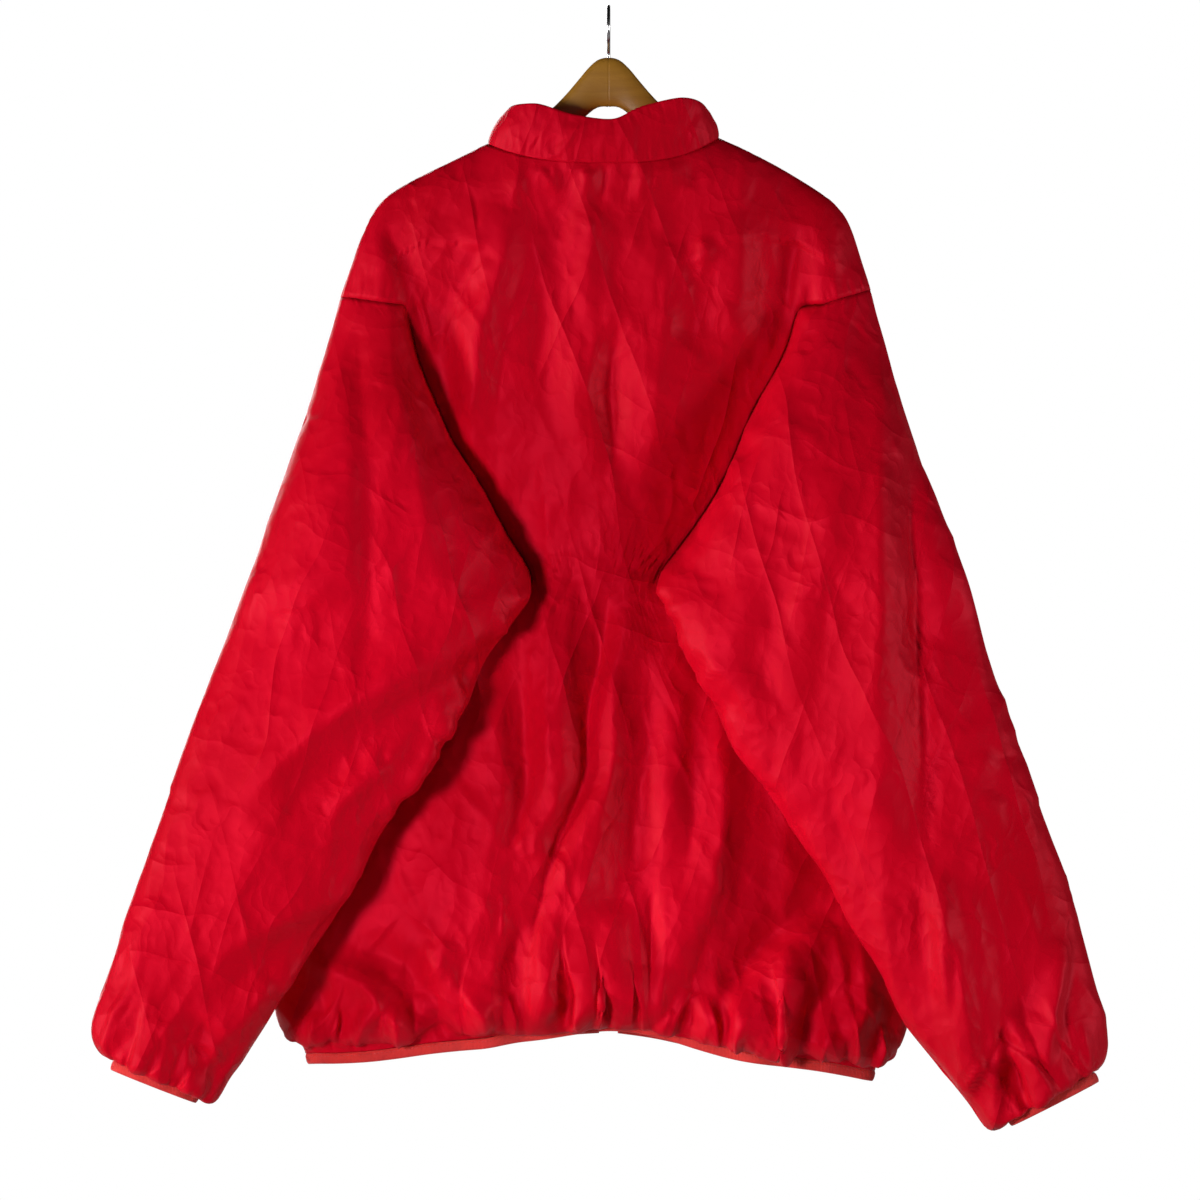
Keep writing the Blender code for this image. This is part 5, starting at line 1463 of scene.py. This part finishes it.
# %% [markdown]
# ## The zip
#
# A moulded zip is two woven tapes, each with its own row of plastic teeth. A tooth has a body on the
# tape's edge, a narrow neck and a wider head, and the heads of one row sit between the necks of the
# other. One tooth is drawn as an outline, raised into a block with a bevelled face, and copied every
# 2.9 mm along the line of the frame's own teeth.

# %% Tapes
def zip_line(node):
    """The height and depth of the frame's strip, from bottom to top."""
    places = points(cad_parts[node].data)
    levels = np.unique(places[:, 2].round(4))
    depth = [places[np.abs(places[:, 2] - level) < 1.5e-4][:, 1] for level in levels]
    return np.array([(d.min(), d.max(), level) for d, level in zip(depth, levels)])


TAPE_COLUMNS = (  # millimetres from the zip's middle, and relief, of the points across a tape
    (0.15, 0.0), (2.7, 0.0), (2.95, 0.35), (3.4, 0.42), (3.85, 0.1), (4.1, 0.0), (6.0, 0.04), (7.9, 0.0),
)
TAPE_STEP = 1.5 * MM
TAPE_RIB = 0.03 * MM
TAPE_SUNK = 0.05 * MM


def woven_tape(name, side, node):
    line = zip_line(node)
    line = spaced(np.stack([line[:, 0] * 0, line[:, 1], line[:, 2]], axis=1), TAPE_STEP)
    wide = len(TAPE_COLUMNS)
    face = []
    for number, (_, y, z) in enumerate(line):
        rib = TAPE_RIB * (number % 2) - TAPE_SUNK
        face += [(side * x * MM, y + relief * MM + rib, z) for x, relief in TAPE_COLUMNS]
    count = len(face)
    back = []
    for k, (x, y, z) in enumerate(face):
        edge = k % wide in (0, wide - 1)
        back.append((x, y - (0.8 if edge else 1.0) * MM, z))
    quads = []
    for r in range(len(line) - 1):
        for c in range(wide - 1):
            a = r * wide + c
            quads.append((a, a + 1, a + 1 + wide, a + wide))
            quads.append(tuple(count + v for v in reversed(quads[-1])))
        for c in (0, wide - 1):
            a = r * wide + c
            rim = (a, a + wide, count + a + wide, count + a)
            quads.append(rim if c == 0 else rim[::-1])
    for r in (0, len(line) - 1):
        for c in range(wide - 1):
            a = r * wide + c
            cap = (a, a + 1, count + a + 1, count + a)
            quads.append(cap[::-1] if r == 0 else cap)
    faces = quads if side < 0 else [quad[::-1] for quad in quads]
    return piece_of(name, face + back, faces, TAPE, node)


tapes = {name: woven_tape("woven_tape_" + name, side, "zip_tape_" + name)
         for side, name in ((-1, "left"), (1, "right"))}

# %% [markdown]
# A tooth's outline is drawn once, from its body across the neck to its head, and is raised in three
# layers of which the last is smaller: that is the bevelled face. The right row's teeth stand half a
# step further, so that they mesh with those on the left.

# %% Teeth
TOOTH = (  # outline in millimetres: across the zip, and along it
    (-2.55, -0.60), (-1.1, -0.62), (-0.55, -0.36), (0.1, -0.34), (0.35, -0.62), (0.8, -0.60), (1.1, -0.28),
    (1.1, 0.28), (0.8, 0.60), (0.35, 0.62), (0.1, 0.34), (-0.55, 0.36), (-1.1, 0.62), (-2.55, 0.60),
)
TOOTH_MIDDLE = -0.7
TOOTH_LAYERS = ((-1.55, 1.0), (-0.1, 1.0), (0.18, 0.80))  # millimetres off the strip's face, and size
TOOTH_PITCH = 2.9 * MM


def tooth_row(name, side, node):
    line = zip_line(node)
    line = spaced(np.stack([line[:, 0] * 0, line[:, 1], line[:, 2]], axis=1), TOOTH_PITCH / 2)
    chosen = range(1 if side < 0 else 2, len(line) - 2, 2)
    block = tube(len(TOOTH_LAYERS), len(TOOTH))
    verts, faces = [], []
    for i in chosen:
        run = line[i + 1] - line[i - 1]
        run = run / np.linalg.norm(run)
        out = np.array([0, run[2], -run[1]])
        first = len(verts)
        for rise, size in TOOTH_LAYERS:
            for x, along in TOOTH:
                x = TOOTH_MIDDLE + (x - TOOTH_MIDDLE) * (0.5 + 0.5 * size)
                place = line[i] + np.array([-side * x * MM, 0, 0])
                verts.append(place + run * (along * size * MM) + out * (rise * MM))
        for face in block:
            face = tuple(first + v for v in face)
            faces.append(face[::-1] if side < 0 else face)
    print(name, len(chosen), "teeth")
    return piece_of(name, verts, faces, TEETH, node, smooth=False)


teeth_rows = {name: tooth_row("teeth_" + name, side, "zip_teeth_" + name)
              for side, name in ((-1, "left"), (1, "right"))}

# %% [markdown]
# The slider and its pull are cast metal, so their edges are soft. The frame's solids have the right
# shape. A copy of each is cleaned of its flat triangles and its edges are rounded by a small bevel.

# %% Slider and pull
def soften(name, node, body, wide):
    metal = bmesh.new()
    metal.from_mesh(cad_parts[node].data)
    bmesh.ops.remove_doubles(metal, verts=metal.verts, dist=2e-6)
    bmesh.ops.dissolve_limit(metal, angle_limit=math.radians(3), verts=metal.verts, edges=metal.edges)
    edges = [e for e in metal.edges if len(e.link_faces) == 2 and e.calc_face_angle() > math.radians(40)]
    bmesh.ops.bevel(metal, geom=edges, offset=wide, segments=2, profile=0.5, affect="EDGES",
                    clamp_overlap=True)
    mesh = bpy.data.meshes.new(name)
    metal.to_mesh(mesh)
    metal.free()
    mesh.materials.clear()
    mesh.materials.append(CAST)
    mesh.shade_smooth()
    mesh.set_sharp_from_angle(angle=math.radians(45))
    made = bpy.data.objects.new(name, mesh)
    scene.collection.objects.link(made)
    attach(made, body)
    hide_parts(node)
    print(name, len(mesh.polygons), "faces")
    return made


soften("cast_slider", "zip_slider", "garment", 0.25 * MM)
soften("cast_pull", "zip_pull", "pull_tab", 0.2 * MM)

# %% [markdown]
# ## The hanger
#
# Only the hanger's hump shows above the collar: two bent arms that meet in a fine joint. The bar is
# swept anew along the frame's own line, with closer sections, so that the hump is a smooth dome. The
# wire hook is a tube on a smooth path, with a rounded tip.

# %% Wooden bar
def smooth_line(x, z, at):
    """A smooth curve through the given points."""
    slope = np.gradient(z, x)
    k = np.clip(np.searchsorted(x, at) - 1, 0, len(x) - 2)
    h = x[k + 1] - x[k]
    t = (at - x[k]) / h
    return ((2 * t**3 - 3 * t**2 + 1) * z[k] + (t**3 - 2 * t**2 + t) * h * slope[k]
            + (-2 * t**3 + 3 * t**2) * z[k + 1] + (t**3 - t**2) * h * slope[k + 1])


WOOD_TALL = (  # distance from the middle, and the bar's height there
    (0.0, 0.0430), (0.026, 0.0385), (0.060, 0.0340), (0.120, 0.0290), (0.180, 0.0230), (0.192, 0.0160),
)
WOOD_HALF = 6.1 * MM
WOOD_SIDES = 28
DOME_RISE, DOME_HALF = 3.0 * MM, 34 * MM
TIP_ROUND = 4.5 * MM
JOINT_HALF, JOINT_GROOVE = 0.4 * MM, 0.035
bar = points(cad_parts["hanger_wood"].data)
bar_x = np.unique(bar[:, 0].round(4))
bar_top = np.array([bar[np.abs(bar[:, 0] - x) < 2e-4][:, 2].max() for x in bar_x])
keep = np.concatenate([[True], np.diff(bar_x) > 0.002])
bar_x, bar_top = bar_x[keep], bar_top[keep]
tip = np.abs(bar_x).max() - 0.3 * MM
near_tip = np.array([0, 0.4, 1.0, 2.0, 3.5]) * MM
near_joint = np.array([-1.2, -0.5, 0, 0.5, 1.2]) * MM
stations = np.concatenate([-tip + near_tip, np.arange(-tip + 6 * MM, -2 * MM, 3 * MM), near_joint,
                           np.arange(3 * MM, tip - 5 * MM, 3 * MM), tip - near_tip[::-1]])
verts = []
for x in stations:
    top = float(smooth_line(bar_x, bar_top, np.array([x]))[0])
    top += DOME_RISE * math.exp(-((x / DOME_HALF) ** 4))
    half = float(np.interp(abs(x), *zip(*WOOD_TALL))) / 2
    end = 1 - np.clip(1 - (tip - abs(x)) / TIP_ROUND, 0, 1) ** 2
    size = 0.35 + 0.65 * math.sqrt(max(end, 0)) - (JOINT_GROOVE if abs(x) < JOINT_HALF else 0)
    for k in range(WOOD_SIDES):
        turn = (k + 0.5) / WOOD_SIDES * math.tau
        c, u = math.cos(turn), math.sin(turn)
        verts.append((x, WOOD_HALF * size * math.copysign(abs(c) ** 0.8, c), top - half + half * size * u))
bar_piece = piece_of("bent_bar", verts, tube(len(stations), WOOD_SIDES), WOOD, "hanger_wood")

# %% [markdown]
# The hook is one wire: a stem that comes out of the wood, a small kick to the front, and a round
# bend over the rod, whose top inside is the frame's own origin. Its tip is drawn in to a round end.

# %% Wire hook
WIRE = 1.6 * MM
BEND = 17.6 * MM
BEND_MIDDLE = -16 * MM
WIRE_SIDES = 12
STEM = ((0.0, -47.0), (0.0, -43.0), (0.0, -39.5), (-1.6, -36.8), (-4.5, -34.5))  # millimetres
route = [(0, y * MM, z * MM) for y, z in STEM]
for angle in range(246, -52, -4):
    turn = math.radians(angle)
    route.append((0, BEND * math.cos(turn), BEND_MIDDLE + BEND * math.sin(turn)))
route = spaced(route, 1.2 * MM)
for _ in range(3):
    route[1:-1] = (route[:-2] + 2 * route[1:-1] + route[2:]) / 4
verts = []
for i, place in enumerate(route):
    run = route[min(i + 1, len(route) - 1)] - route[max(i - 1, 0)]
    run = run / np.linalg.norm(run)
    out = np.array([0, run[2], -run[1]])
    size = WIRE * (0.45, 0.85, 1.0)[min(len(route) - 1 - i, 2)]
    for k in range(WIRE_SIDES):
        turn = k / WIRE_SIDES * math.tau
        verts.append(place + np.array([math.cos(turn) * size, 0, 0]) + out * math.sin(turn) * size)
piece_of("wire_hook", verts, tube(len(route), WIRE_SIDES), STEEL, "hanger_hook")

# %% [markdown]
# ## What was cut
#
# A table gives the size that each piece of cloth was cut to, as it shows, before it was sewn and hung.
# The area is that of its real outline inside that rectangle, and it is printed beside half the surface
# of the made piece.

# %% Sheets
def half_surface(piece):
    return sum(face.area for face in piece.data.polygons) / 2


CUTS = {  # width and length in metres, area in square metres, and how it is held
    "back": (0.62, 0.80, 0.345, "hung"),
    "front_left": (0.31, 0.78, 0.185, "hung"),
    "front_right": (0.31, 0.78, 0.185, "hung"),
    "sleeve_left": (0.64, 0.70, 0.290, "hung"),
    "sleeve_right": (0.64, 0.70, 0.290, "hung"),
    "collar": (0.47, 0.055, 0.0215, "hung"),
    "hem_binding": (1.06, 0.0115, 0.0121, "stretched"),
    "cuff_binding_left": (0.21, 0.011, 0.0023, "stretched"),
    "cuff_binding_right": (0.21, 0.011, 0.0023, "stretched"),
}
for node, (width, length, area, held) in CUTS.items():
    extra = [threads[node]] if node in threads else []
    if node.startswith("front"):
        side = node.split("_")[1]
        extra += [tapes[side], teeth_rows[side]]
    print(node, "half surface", round(half_surface(cloth_pieces[node]), 4), "cut", area)
